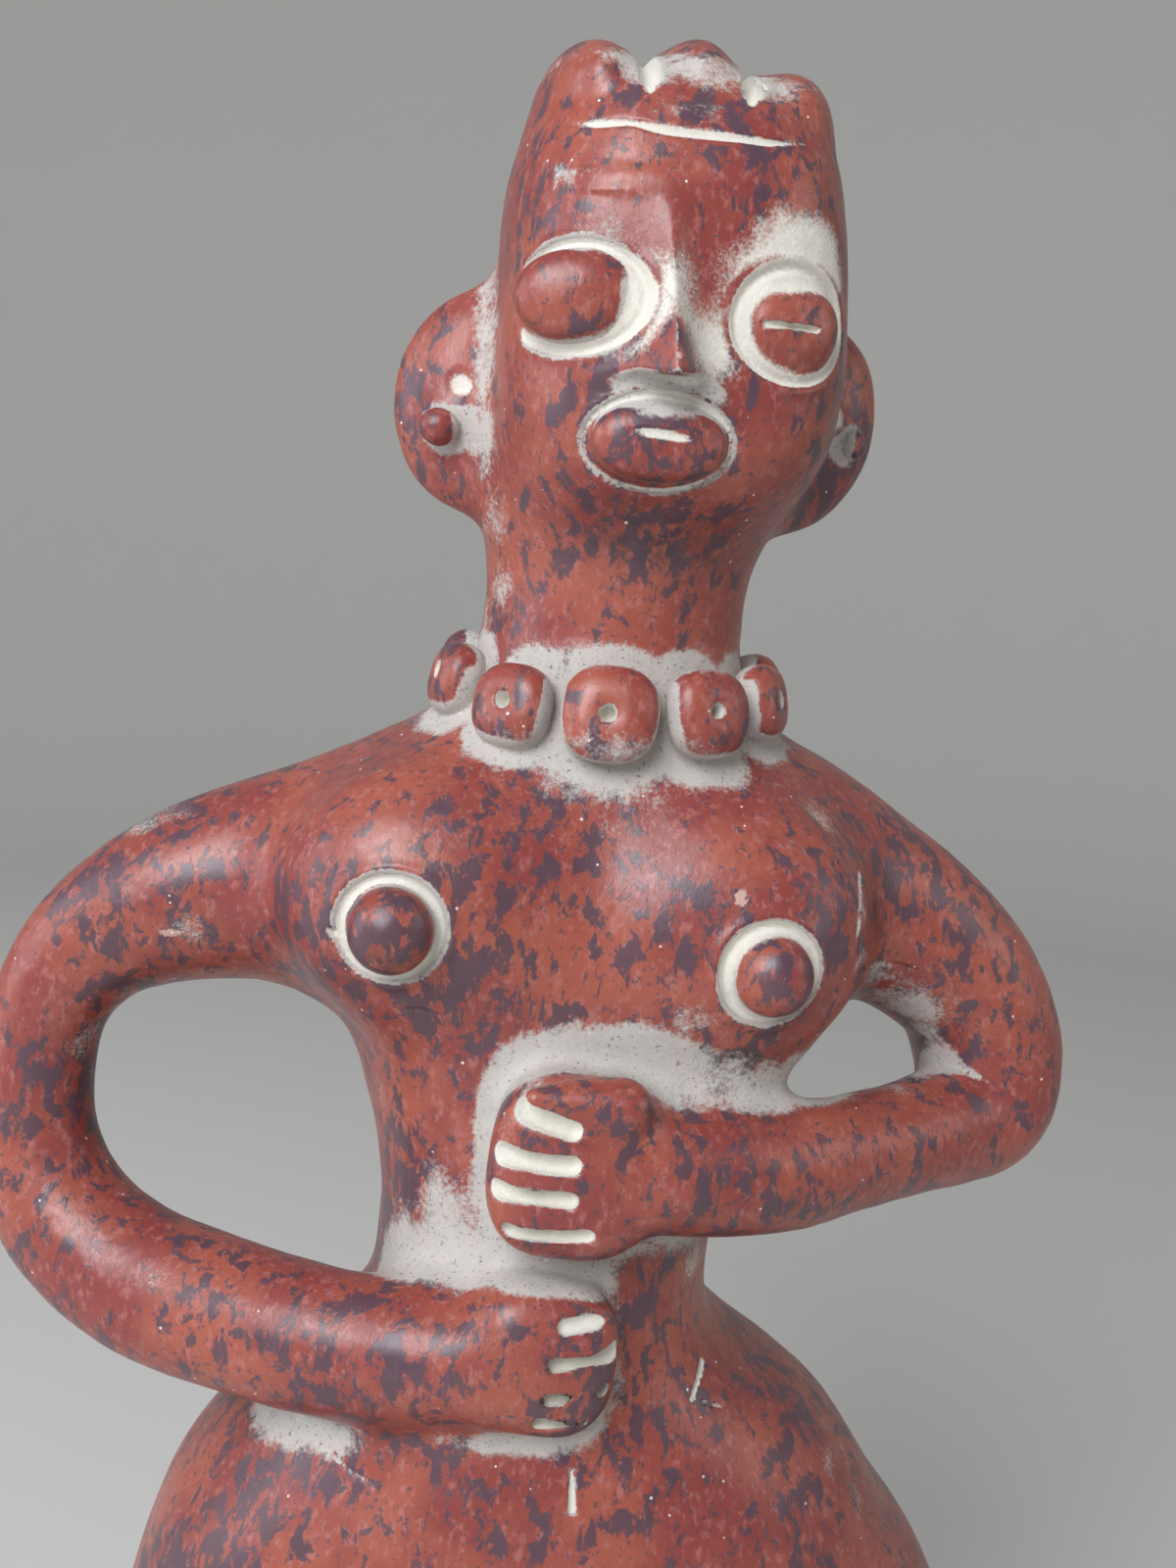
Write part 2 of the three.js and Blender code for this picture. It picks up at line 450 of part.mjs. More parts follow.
// Thin a closed mesh: the edge whose loss bends the surface least goes first.
// `target` is the number of triangles to keep; with `shortest`, only edges
// below that length go.
function thin({ verts, faces }, target, shortest = 0) {
  const P = verts.map((p) => p.slice());
  const F = faces.map((f) => f.slice());
  const alive = new Uint8Array(F.length).fill(1);
  const fan = P.map(() => new Set());
  F.forEach((f, i) => f.forEach((v) => fan[v].add(i)));
  const sub = (a, b) => [a[0] - b[0], a[1] - b[1], a[2] - b[2]];
  const cross = (a, b) => [a[1] * b[2] - a[2] * b[1], a[2] * b[0] - a[0] * b[2], a[0] * b[1] - a[1] * b[0]];
  const dot = (a, b) => a[0] * b[0] + a[1] * b[1] + a[2] * b[2];
  const Q = P.map(() => new Float64Array(10));
  for (const f of F) {
    const n = cross(sub(P[f[1]], P[f[0]]), sub(P[f[2]], P[f[0]]));
    const area = Math.hypot(...n) / 2 || 1e-12;
    const [a, b, c] = n.map((v) => v / (2 * area));
    const d = -dot([a, b, c], P[f[0]]);
    const q = [a * a, a * b, a * c, a * d, b * b, b * c, b * d, c * c, c * d, d * d];
    for (const v of f) for (let i = 0; i < 10; i++) Q[v][i] += q[i] * area;
  }
  const cost = (q, [x, y, z]) => q[0] * x * x + 2 * q[1] * x * y + 2 * q[2] * x * z + 2 * q[3] * x
    + q[4] * y * y + 2 * q[5] * y * z + 2 * q[6] * y + q[7] * z * z + 2 * q[8] * z + q[9];
  const stamp = new Int32Array(P.length);
  const heap = [];
  const less = (a, b) => heap[a].cost < heap[b].cost;
  const swap = (a, b) => { [heap[a], heap[b]] = [heap[b], heap[a]]; };
  const push = (e) => {
    heap.push(e);
    for (let i = heap.length - 1; i > 0;) { const p = (i - 1) >> 1; if (!less(i, p)) break; swap(i, p); i = p; }
  };
  const pop = () => {
    const top = heap[0], last = heap.pop();
    if (heap.length) {
      heap[0] = last;
      for (let i = 0; ;) {
        let m = i; const l = 2 * i + 1, r = l + 1;
        if (l < heap.length && less(l, m)) m = l;
        if (r < heap.length && less(r, m)) m = r;
        if (m === i) break;
        swap(i, m); i = m;
      }
    }
    return top;
  };
  const offer = (u, v) => {
    const length = Math.hypot(...sub(P[u], P[v]));
    if (shortest && length > shortest) return;
    const q = Q[u].map((x, i) => x + Q[v][i]);
    const mid = P[u].map((x, i) => (x + P[v][i]) / 2);
    let best = mid, c = cost(q, mid);
    const det = q[0] * (q[4] * q[7] - q[5] * q[5]) - q[1] * (q[1] * q[7] - q[5] * q[2])
      + q[2] * (q[1] * q[5] - q[4] * q[2]);
    if (Math.abs(det) > 1e-7) {
      const s = [
        -(q[3] * (q[4] * q[7] - q[5] * q[5]) - q[1] * (q[6] * q[7] - q[5] * q[8]) + q[2] * (q[6] * q[5] - q[4] * q[8])) / det,
        -(q[0] * (q[6] * q[7] - q[8] * q[5]) - q[3] * (q[1] * q[7] - q[5] * q[2]) + q[2] * (q[1] * q[8] - q[6] * q[2])) / det,
        -(q[0] * (q[4] * q[8] - q[5] * q[6]) - q[1] * (q[1] * q[8] - q[2] * q[6]) + q[3] * (q[1] * q[5] - q[4] * q[2])) / det,
      ];
      if (Math.hypot(...sub(s, mid)) < length * 0.8 && cost(q, s) < c) { best = s; c = cost(q, s); }
    }
    for (const p of [P[u], P[v]]) if (cost(q, p) < c - 1e-9) { best = p.slice(); c = cost(q, p); }
    push({ u, v, su: stamp[u], sv: stamp[v], at: best, cost: Math.max(c, 0) + 1e-4 * length * length });
  };
  const ring = (v) => {
    const s = new Set();
    for (const f of fan[v]) for (const w of F[f]) if (w !== v) s.add(w);
    return s;
  };
  for (let v = 0; v < P.length; v++) for (const w of ring(v)) if (v < w) offer(v, w);
  let count = F.length;
  while (count > target && heap.length) {
    const { u, v, su, sv, at } = pop();
    if (stamp[u] !== su || stamp[v] !== sv) continue;
    const ru = ring(u), rv = ring(v);
    let shared = 0;
    for (const w of ru) if (rv.has(w)) shared++;
    if (shared !== 2) continue;
    let good = true;
    for (const [own, other] of [[u, v], [v, u]]) {
      for (const f of fan[own]) {
        const t = F[f];
        if (t.includes(other)) continue;
        const before = t.map((w) => P[w]);
        const after = t.map((w) => (w === own ? at : P[w]));
        const n0 = cross(sub(before[1], before[0]), sub(before[2], before[0]));
        const n1 = cross(sub(after[1], after[0]), sub(after[2], after[0]));
        const l0 = Math.hypot(...n0), l1 = Math.hypot(...n1);
        const longest = Math.max(...[0, 1, 2].map((i) => Math.hypot(...sub(after[i], after[(i + 1) % 3]))));
        if (!shortest && (dot(n0, n1) < 0.3 * l0 * l1 || l1 < 0.12 * longest * longest)) { good = false; break; }
        if (shortest && l0 > 1e-3 && dot(n0, n1) < 0) { good = false; break; }
      }
      if (!good) break;
    }
    if (!good) continue;
    for (const f of [...fan[v]]) {
      if (F[f].includes(u)) {
        alive[f] = 0; count--;
        for (const w of F[f]) fan[w].delete(f);
      } else {
        F[f] = F[f].map((w) => (w === v ? u : w));
        fan[u].add(f); fan[v].delete(f);
      }
    }
    P[u] = at;
    for (let i = 0; i < 10; i++) Q[u][i] += Q[v][i];
    stamp[v] = -1; stamp[u]++;
    for (const w of ring(u)) offer(u, w);
  }
  const used = new Map(), outV = [], outF = [];
  F.forEach((f, i) => {
    if (!alive[i]) return;
    outF.push(f.map((w) => {
      if (!used.has(w)) { used.set(w, outV.length); outV.push(P[w]); }
      return used.get(w);
    }));
  });
  return { verts: outV, faces: outF };
}

function toGeometry({ verts, faces }) {
  const g = new THREE.BufferGeometry();
  g.setAttribute('position', new THREE.Float32BufferAttribute(verts.flat(), 3));
  g.setIndex(faces.flat());
  return g;
}
function fromGeometry(g) {
  const p = g.getAttribute('position'), ix = g.index.array;
  const verts = [], faces = [];
  for (let i = 0; i < p.count; i++) verts.push([p.getX(i), p.getY(i), p.getZ(i)]);
  for (let i = 0; i < ix.length; i += 3) faces.push([ix[i], ix[i + 1], ix[i + 2]]);
  return { verts, faces };
}

// ---------------------------------------------------------------- solids

const wasm = await Module();
wasm.setup();

function toSolid(geometry) {
  const g = geometry.clone();
  g.deleteAttribute('normal');
  g.deleteAttribute('uv');
  const m = mergeVertices(g, 1e-4);
  return new wasm.Manifold(new wasm.Mesh({
    numProp: 3,
    vertProperties: Float32Array.from(m.getAttribute('position').array),
    triVerts: Uint32Array.from(m.index.array),
  }));
}
function toBuffer(solid) {
  const mesh = solid.getMesh();
  const g = new THREE.BufferGeometry();
  g.setAttribute('position', new THREE.BufferAttribute(mesh.vertProperties.slice(), 3));
  g.setIndex(new THREE.BufferAttribute(mesh.triVerts.slice(), 1));
  return g;
}

// An egg-shaped pellet of clay that lies on the surface.
function pellet({ at, half, faces, turn }, across = 14, down = 8) {
  const g = new THREE.SphereGeometry(1, across, down);
  g.scale(half[0], half[1], half[2]);
  g.applyMatrix4(facing(faces || [0, -1, 0.02], turn || 0));
  g.translate(...at);
  return g;
}
// A bead: a domed button with a pit in its middle, flat side to the neck.
function bead([angle, z, radius]) {
  const { halfX, halfY, centreY, tilt, holeRadius, halfThickness: t } = NECKLACE;
  const profile = [
    [0, -t], [radius * 0.86, -t], [radius, -t * 0.2], [radius * 0.93, t * 0.45], [radius * 0.62, t * 0.93],
    [holeRadius * 1.35, t], [holeRadius * 0.8, t * 0.25], [0, t * 0.1],
  ].map(([r, h]) => new THREE.Vector2(r, h));
  const g = new THREE.LatheGeometry(profile, 12);
  const a = THREE.MathUtils.degToRad(angle);
  const out = [Math.sin(a), -Math.cos(a), tilt];
  g.applyMatrix4(facing(out));
  g.translate(out[0] * halfX, centreY + out[1] * halfY, z);
  return g;
}
// A round-ended groove from one point to another.
function groove([from, to, radius]) {
  const a = new THREE.Vector3(...from), b = new THREE.Vector3(...to);
  const g = new THREE.CapsuleGeometry(radius, a.distanceTo(b), 2, 7);
  const turn = new THREE.Quaternion().setFromUnitVectors(new THREE.Vector3(0, 1, 0), b.clone().sub(a).normalize());
  g.applyQuaternion(turn);
  const mid = a.add(b).multiplyScalar(0.5);
  g.translate(mid.x, mid.y, mid.z);
  return g;
}

// True when two sheets of a mesh touch at a vertex or along an edge.
function pinched({ verts, faces }) {
  const fan = verts.map(() => []);
  for (const f of faces) f.forEach((v, i) => fan[v].push([f[(i + 1) % 3], f[(i + 2) % 3]]));
  return fan.some((pairs) => {
    const next = new Map(pairs);
    if (next.size !== pairs.length) return true;
    let v = pairs[0][0], n = 0;
    do { v = next.get(v); n++; } while (v !== undefined && v !== pairs[0][0] && n <= pairs.length);
    return n !== pairs.length;
  });
}

function figurine() {
  let skin, step = GRID;
  do {
    skin = surface(clay, [-109, -59, -9], [101, 58, 402], step);
    step *= 0.985;
  } while (pinched(skin));
  settle(skin.verts, clay, 2, GRID * 0.4);
  skin = thin(skin, BODY_TRIANGLES);
  settle(skin.verts, clay, 1, GRID * 0.2);

  let solid = toSolid(toGeometry(skin));
  const applied = [
    ...EYES.map((e) => pellet(e, 16, 8)),
    pellet(MOUTH, 16, 8),
    ...NIPPLES.map(({ at, radius: r }) => pellet({ at, half: [r, r * 0.95, r * 1.03] }, 14, 8)),
    ...NECKLACE.beads.map(bead),
  ];
  for (const g of applied) solid = solid.add(toSolid(g));
  for (const g of [...EAR_PITS, ...NOTCHES].map((e) => pellet(e, 10, 7))) solid = solid.subtract(toSolid(g));
  for (const g of EAR_PELLETS.map((e) => pellet(e, 8, 6))) solid = solid.add(toSolid(g));
  for (const g of [...GROOVES, NAVEL].map(groove)) solid = solid.subtract(toSolid(g));

  // the underside is cut flat at the floor
  const below = new THREE.BoxGeometry(300, 300, 60);
  below.translate(0, 0, -30);
  solid = solid.subtract(toSolid(below));

  // no slivers: edges too short to matter are closed up
  return toGeometry(thin(fromGeometry(toBuffer(solid)), 0, 0.12));
}

const clayMaterial = new THREE.MeshStandardMaterial({
  name: 'red_slip', color: 0x7a3a35, roughness: 0.45, metalness: 0,
});

const group = new THREE.Group();
group.name = 'female_figurine';
const mesh = new THREE.Mesh(figurine(), clayMaterial);
mesh.name = 'figurine';
group.add(mesh);

export default group;
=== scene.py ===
# A standing female figure in red-slipped, hand-modelled clay: hollow, fired in
# one piece, on a low base. The clay is worked out as one smooth shape (lofted
# sections, swept limbs, pads and pellets, then the tool's cuts), meshed once,
# and given a burnished slip with dark fire mottles and pale earth left in the
# recesses. The camera stands where the photograph was taken from.
import math

import bpy
import numpy as np
from mathutils import Matrix, Vector


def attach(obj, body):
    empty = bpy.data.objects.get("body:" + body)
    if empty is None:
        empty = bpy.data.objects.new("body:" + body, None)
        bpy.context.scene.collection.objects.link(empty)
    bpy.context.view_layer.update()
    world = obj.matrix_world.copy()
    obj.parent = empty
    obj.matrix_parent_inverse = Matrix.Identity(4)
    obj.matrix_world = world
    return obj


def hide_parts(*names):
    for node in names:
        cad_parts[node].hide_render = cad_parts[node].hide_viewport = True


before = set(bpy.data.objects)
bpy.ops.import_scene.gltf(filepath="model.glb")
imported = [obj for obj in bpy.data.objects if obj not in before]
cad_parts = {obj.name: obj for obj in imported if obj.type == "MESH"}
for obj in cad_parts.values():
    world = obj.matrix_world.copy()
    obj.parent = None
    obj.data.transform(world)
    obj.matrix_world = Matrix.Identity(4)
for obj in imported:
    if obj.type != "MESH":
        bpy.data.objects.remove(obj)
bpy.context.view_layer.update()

# ---------------------------------------------------------------- the clay, in mm
# The same masses as the solid, with the finer work added: incised rings and
# lines, cupped finger cuts, bead holes, cracks and a hand-smoothed unevenness.

# Section rows: z, left x, right x, front y, back y, roundness in front, behind.
TORSO_ROWS = [
    (6, -35, 37, -20, 16, 2.3, 2.3), (16, -36, 38.5, -21.5, 18, 2.3, 2.3),
    (30, -42, 45.5, -24.5, 22.5, 2.3, 2.3), (50, -53, 58, -31, 31, 2.3, 2.3),
    (70, -64.5, 70.5, -38.5, 40, 2.3, 2.3), (86, -71.8, 79.4, -43.5, 46, 2.3, 2.3),
    (100, -74.8, 83.6, -46.8, 49, 2.3, 2.3), (110, -74.6, 82.6, -47.8, 49.6, 2.3, 2.3),
    (120, -73.2, 79.0, -48, 49.5, 2.3, 2.3), (130, -70.6, 73.6, -47.8, 48.6, 2.3, 2.3),
    (141, -66.8, 65, -47, 47, 2.3, 2.3), (148, -62.3, 60.5, -45.5, 44.5, 2.3, 2.3),
    (156, -56.7, 54.5, -43.5, 40, 2.25, 2.25), (165, -48, 44.9, -41, 34, 2.2, 2.2),
    (173, -39, 33.5, -38.5, 29.5, 2.2, 2.2), (180, -34.5, 26.8, -37, 27.5, 2.2, 2.2),
    (187, -33, 25.3, -36, 27, 2.2, 2.2), (197, -33, 26, -35, 27.5, 2.2, 2.2),
    (208, -34.6, 27.5, -34.5, 29, 2.2, 2.2), (219, -38, 32, -35, 30, 2.2, 2.2),
    (229, -41, 37.5, -36, 31, 2.25, 2.25), (243, -45, 45, -36, 31.5, 2.3, 2.3),
    (256, -47, 47, -34, 31, 2.3, 2.3), (266, -44, 44.5, -31, 29, 2.2, 2.2),
    (274, -37, 38, -28, 26, 2.1, 2.1), (281, -30, 30, -25.5, 24, 2.0, 2.0),
    (288, -25, 24.6, -23.5, 22.5, 2.0, 2.0), (296, -22.9, 22.2, -22.3, 21.5, 2.0, 2.0),
    (307, -21.6, 21.2, -21.5, 21, 2.0, 2.0), (318, -22, 21.5, -21.5, 21, 2.0, 2.0),
    (330, -22, 23, -21, 20, 2.0, 2.0),
]
HEAD_ROWS = [
    (297, -12, 12, -12, 13, 2.0, 2.0), (305, -17, 17, -17.5, 19, 2.0, 2.0),
    (311, -19.8, 19.8, -22.5, 23.5, 2.1, 2.0), (317, -21.2, 24, -29, 27, 2.3, 2.1),
    (324, -22.6, 28.4, -34.5, 29.5, 2.6, 2.2), (333, -23.6, 31.2, -36.5, 30.5, 3.0, 2.25),
    (343, -24.4, 31.6, -36.8, 31, 3.2, 2.3), (355, -24.8, 31.0, -36.8, 31, 3.1, 2.3),
    (366, -24.6, 29.8, -36, 30, 2.8, 2.3), (374, -23.4, 28.4, -34, 28, 2.6, 2.3),
    (380, -21.6, 26.6, -30.5, 25, 2.5, 2.3), (384.5, -18.5, 23.5, -25.5, 20.5, 2.3, 2.2),
    (387.6, -14, 18.5, -18, 14, 2.1, 2.1), (389.4, -7, 11, -8, 6, 2.0, 2.0),
]
BASE = dict(half_width=60.0, half_depth=44.0, height=9.0, fillet=5.0)
LEG_GAP = dict(x=1.0, bottom=5.5, top=0.8, closes=84.0, fillet=9.0)
FEET = [((-21, -15, 12.5), (14.5, 26, 10)), ((23, -15, 12.5), (14.5, 26, 10))]

# Arms: x, y, z and radius down the middle, shoulder to wrist.
LEFT_ARM = [
    (-20, 4, 256, 25), (-40, 3, 252, 22), (-56, 2, 250.5, 17.8), (-70, 1, 247, 15),
    (-82, 0, 240.5, 11.8), (-90, 0, 230, 10), (-92.8, 0, 217, 9.3), (-92.5, -1, 203, 9.8),
    (-87, -4, 191, 11.2), (-76, -9.5, 183.5, 12), (-62, -17, 181, 12), (-47, -25, 180.5, 11.7),
    (-33, -31.5, 181.5, 11), (-20, -36.5, 183.3, 10.3),
]
RIGHT_ARM = [
    (20, 4, 258, 25), (38, 3, 255, 21.5), (52, 2, 251.5, 17), (64, 1.5, 245, 15),
    (73, 1, 237, 14), (77.5, 0, 226, 13.6), (76.5, -2.5, 217, 12.6), (69, -7.5, 214.3, 11),
    (58, -15, 214, 10), (46, -22, 213.8, 10), (34, -28.5, 213.8, 10.4), (21, -34, 214.5, 10.6),
    (10, -38, 215.5, 9.8),
]
ARM_DEPTH = 0.95
BREASTS = [((-31.5, -22, 254.5), (20, 14.5, 18.5)), ((22.5, -24, 252), (19, 14.5, 18))]
# centre, half sizes, turn
HANDS = [((-4.6, -40, 217), (13.4, 7.6, 14.8), 0.05), ((-7.6, -40.5, 185.4), (12.2, 7.6, 12.2), 0.12)]
# centre, half sizes, direction faced, turn
EARS = [
    ((-25, 1, 334.8), (15.4, 6.5, 18.6), (-0.25, -1, 0), 0.05),
    ((29, 1, 336), (14.8, 6.5, 18.6), (0.25, -1, 0), 0.25),
]
HAIR_LOBES = [
    ((-12.4, -4, 381.0), (8.8, 24, 9.8)), ((2.9, -4, 381.8), (8.4, 24, 11.0)),
    ((18.0, -4, 379.4), (8.8, 23, 9.6)),
]
NOSE = dict(top=363.0, bottom=337.2, top_x=-2.4, tip_x=-0.6, top_half=2.2, bottom_half=8.2,
            top_y=-36.0, tip_y=-47.2, face_y=-35.5)
EYES = [
    ((-14.6, -32.4, 347.9), (9.3, 4.6, 6.8), (-0.14, -1, 0.02), -0.06),
    ((17.6, -31.9, 347.0), (8.4, 4.6, 7.2), (0.24, -1, 0.02), 0.03),
]
MOUTH = ((-0.8, -35.2, 328.0), (10.1, 4.6, 6.0), (0, -1, 0), -0.03)
NIPPLES = [((-35.4, -37.6, 252.0), 6.9), ((23.9, -39.2, 248.6), 6.7)]
EAR_PITS = [((-31.4, -7.0, 336.6), (4.6, 3.6, 4.4)), ((36.2, -7.0, 337.4), (3.6, 3.6, 4.2))]
EAR_PELLETS = [((-32.6, -5.6, 329.4), (3.1, 2.6, 3.0)), ((38.6, -2.6, 333.2), (2.2, 3.0, 2.6))]
NECKLACE = dict(half_x=27.2, half_y=25.4, centre_y=-2.2, tilt=0.2, half_thickness=4.4)
# angle round the neck from the front (degrees), height, radius, where its hole sits (across, up)
BEADS = [
    (-80, 288.2, 6.4, -0.2, 0.9), (-42, 285.8, 6.8, -0.6, 0.5), (-7, 286.0, 7.8, 0.4, 0.0),
    (28, 287.0, 7.2, 0.8, 0.4), (62, 288.6, 6.4, 0.3, 0.4), (100, 290, 6, 0.2, 0.2),
    (139, 291, 6, -0.3, 0.1), (180, 291, 6, 0.3, -0.2), (-151, 291, 6, 0.0, 0.3),
    (-116, 290, 6, 0.2, 0.0),
]

# Cuts made with a tool: start, end, radius at each end, all in mm.
FINGER_CUTS = [
    ((-13.6, -45.2, 227.4), (-6.4, -46.6, 224.9), 1.9, 1.6),
    ((-18.0, -44.0, 219.9), (-6.0, -46.9, 219.4), 1.5, 1.55),
    ((-18.4, -44.0, 214.3), (-5.8, -46.9, 214.0), 1.5, 1.45),
    ((-14.2, -44.8, 208.2), (-2.6, -46.9, 208.2), 1.35, 1.35),
    ((3.9, -44.8, 194.3), (-4.6, -47.0, 193.5), 1.5, 1.45),
    ((3.7, -44.6, 188.5), (-5.8, -47.0, 187.6), 1.5, 1.45),
    ((1.9, -44.8, 182.6), (-6.4, -47.0, 182.0), 1.35, 1.35),
    ((-0.8, -45.0, 177.8), (-7.4, -46.6, 177.9), 1.25, 1.25),
]
TOE_CUTS = [
    ((-29.5, -38, 13.5), (-28.5, -30, 19.5), 1.2, 1.0), ((-24.0, -42, 14), (-23.4, -33, 21), 1.2, 1.0),
    ((-18.4, -42, 14), (-18.6, -33, 21), 1.2, 1.0), ((-12.8, -38, 13.5), (-13.8, -30, 19.5), 1.2, 1.0),
    ((31.5, -38, 13.5), (30.5, -30, 19.5), 1.2, 1.0), ((26.0, -42, 14), (25.4, -33, 21), 1.2, 1.0),
    ((20.4, -42, 14), (20.6, -33, 21), 1.2, 1.0), ((14.8, -38, 13.5), (15.8, -30, 19.5), 1.2, 1.0),
]


def join(a, b, k):
    h = np.maximum(k - np.abs(a - b), 0.0) / k
    return np.minimum(a, b) - h * h * k * 0.25


def trim(a, b, k):
    return -join(-a, -b, k)


def carve(a, b, k):
    return -join(-a, b, k)


def monotone(xs, ys, q):
    """Monotone cubic through (xs, ys) at q."""
    xs, ys = np.asarray(xs, float), np.asarray(ys, float)
    h = np.diff(xs)
    s = np.diff(ys) / h
    m = np.zeros_like(ys)
    for i in range(1, len(ys) - 1):
        if s[i - 1] * s[i] > 0:
            w1, w2 = 2 * h[i] + h[i - 1], h[i] + 2 * h[i - 1]
            m[i] = (w1 + w2) / (w1 / s[i - 1] + w2 / s[i])
    m[0], m[-1] = s[0], s[-1]
    q = np.clip(q, xs[0], xs[-1])
    i = np.clip(np.searchsorted(xs, q) - 1, 0, len(h) - 1)
    t = (q - xs[i]) / h[i]
    return ((2 * t**3 - 3 * t**2 + 1) * ys[i] + (t**3 - 2 * t**2 + t) * h[i] * m[i]
            + (-2 * t**3 + 3 * t**2) * ys[i + 1] + (t**3 - t**2) * h[i] * m[i + 1])


def spline(rows, n):
    """Catmull-Rom through rows of any width, n steps a span."""
    p = np.asarray(rows, float)
    e = np.vstack([2 * p[0] - p[1], p, 2 * p[-1] - p[-2]])
    out = []
    for i in range(len(p) - 1):
        a, b, c, d = e[i:i + 4]
        for t in np.arange(n) / n:
            out.append(0.5 * (2 * b + (c - a) * t + (2 * a - 5 * b + 4 * c - d) * t * t
                              + (3 * b - a - 3 * c + d) * t**3))
    out.append(p[-1])
    return np.array(out)


class Loft:
    """An upright mass of rounded sections."""

    def __init__(self, rows, step=0.5):
        r = np.array(rows, float)
        self.low, self.high, self.step = r[0, 0], r[-1, 0], step
        z = np.arange(self.low, self.high + step, step)
        kernel = np.array([1, 2, 3, 4, 5, 4, 3, 2, 1.0])
        kernel /= kernel.sum()

        def soft(v):
            return np.convolve(np.pad(v, 4, mode="edge"), kernel, "valid")

        xl, xr, yf, yb, nf, nb = [soft(soft(soft(monotone(r[:, 0], r[:, i], z)))) for i in range(1, 7)]
        cx, a, cy, b = (xl + xr) / 2, (xr - xl) / 2, (yf + yb) / 2, (yb - yf) / 2
        self.table = np.stack([cx, a, cy, b, nf, nb] + [np.gradient(v, step) for v in (cx, a, cy, b)], axis=1)

    def __call__(self, x, y, z):
        f = (np.clip(z, self.low, self.high) - self.low) / self.step
        i = np.minimum(f.astype(int), len(self.table) - 2)
        w = (f - i)[:, None]
        t = (self.table[i] * (1 - w) + self.table[i + 1] * w).T
        cx, a, cy, b, nf, nb, dcx, da, dcy, db = t
        dx, dy = x - cx, y - cy
        n = np.where(dy > 0, nb, nf)
        u, v = np.abs(dx) / a + 1e-9, np.abs(dy) / b + 1e-9
        un, vn = u**n, v**n
        k = (un + vn) ** (1 / n)
        kn = k ** (n - 1)
        kx = np.sign(dx) * un / u / kn / a
        ky = np.sign(dy) * vn / v / kn / b
        kz = -kx * dcx - ky * dcy - (un * da / a + vn * db / b) / kn
        g = np.maximum(np.sqrt(kx * kx + ky * ky + kz * kz), 0.6 / np.maximum(a, b))
        return (k - 1) / g


def rod(x, y, z, a, b, depth=1.0):
    """Distance to a tapered, round-ended rod between rows (x, y, z, radius)."""
    u = b[:3] - a[:3]
    px, py, pz = x - a[0], y - a[1], z - a[2]
    t = np.clip((px * u[0] + py * u[1] + pz * u[2]) / (u @ u + 1e-12), 0, 1)
    qx, qy, qz = px - t * u[0], (py - t * u[1]) / depth, pz - t * u[2]
    return np.sqrt(qx * qx + qy * qy + qz * qz) - (a[3] + t * (b[3] - a[3]))


class Limb:
    """A swept limb, worked out a stretch at a time near the points."""

    def __init__(self, rows, per_span=9, depth=1.0):
        self.nodes = spline(rows, per_span)
        self.depth = depth

    def __call__(self, x, y, z, reach=24.0):
        d = np.full(x.shape, reach)
        n = self.nodes
        for s in range(0, len(n) - 1, 6):
            part = n[s:s + 7]
            r = part[:, 3].max() + reach
            lo, hi = part[:, :3].min(0) - r, part[:, :3].max(0) + r
            m = np.flatnonzero((x > lo[0]) & (x < hi[0]) & (y > lo[1]) & (y < hi[1]) & (z > lo[2]) & (z < hi[2]))
            if not len(m):
                continue
            X, Y, Z, best = x[m], y[m], z[m], d[m]
            for a, b in zip(part[:-1], part[1:]):
                best = np.minimum(best, rod(X, Y, Z, a, b, self.depth))
            d[m] = best
        return d


def facing(direction, turn=0.0):
    """Rows are across, outward and up, for something that faces a direction."""
    out = np.array(direction, float)
    out /= np.linalg.norm(out)
    across = np.cross(out, (0, 0, 1.0))
    across /= np.linalg.norm(across)
    up = np.cross(across, out)
    c, s = np.cos(turn), np.sin(turn)
    return np.array([c * across + s * up, out, c * up - s * across])


def local(x, y, z, at, m):
    p = np.stack([x - at[0], y - at[1], z - at[2]])
    return m @ p


def egg(p, r):
    """Ellipsoid of half sizes r round the origin."""
    k0 = np.sqrt((p[0] / r[0]) ** 2 + (p[1] / r[1]) ** 2 + (p[2] / r[2]) ** 2)
    k1 = np.sqrt((p[0] / r[0] ** 2) ** 2 + (p[1] / r[1] ** 2) ** 2 + (p[2] / r[2] ** 2) ** 2) + 1e-9
    return k0 * (k0 - 1) / k1


def pillow(p, r, n):
    """A squarer ellipsoid."""
    u, v, w = [np.abs(p[i]) / r[i] + 1e-6 for i in range(3)]
    k = (u**n + v**n + w**n) ** (1 / n)
    g = np.sqrt(((u / k) ** (n - 1) / r[0]) ** 2 + ((v / k) ** (n - 1) / r[1]) ** 2 + ((w / k) ** (n - 1) / r[2]) ** 2)
    return (k - 1) / g


def nose(x, y, z):
    n = NOSE
    t = np.clip((n["top"] - z) / (n["top"] - n["bottom"]), -0.2, 1.1)
    w = n["top_half"] + (n["bottom_half"] - n["top_half"]) * np.abs(t) ** 1.45
    cx = n["top_x"] + (n["tip_x"] - n["top_x"]) * t
    ridge = n["top_y"] + (n["tip_y"] - n["top_y"]) * np.clip(t, 0, 1.1) ** 0.85
    h = np.maximum(n["face_y"] - ridge, 0.3)
    ax = np.sqrt((x - cx) ** 2 + 0.8) - 0.3
    f = (ax / w + np.maximum((n["face_y"] - y) / h, -0.35) - 1) / np.sqrt(1 / w**2 + 1 / h**2)
    f = trim(f, (n["bottom"] - z) + 0.10 * (y + 40), 1.5)
    return trim(f, z - n["top"] - 2, 2)


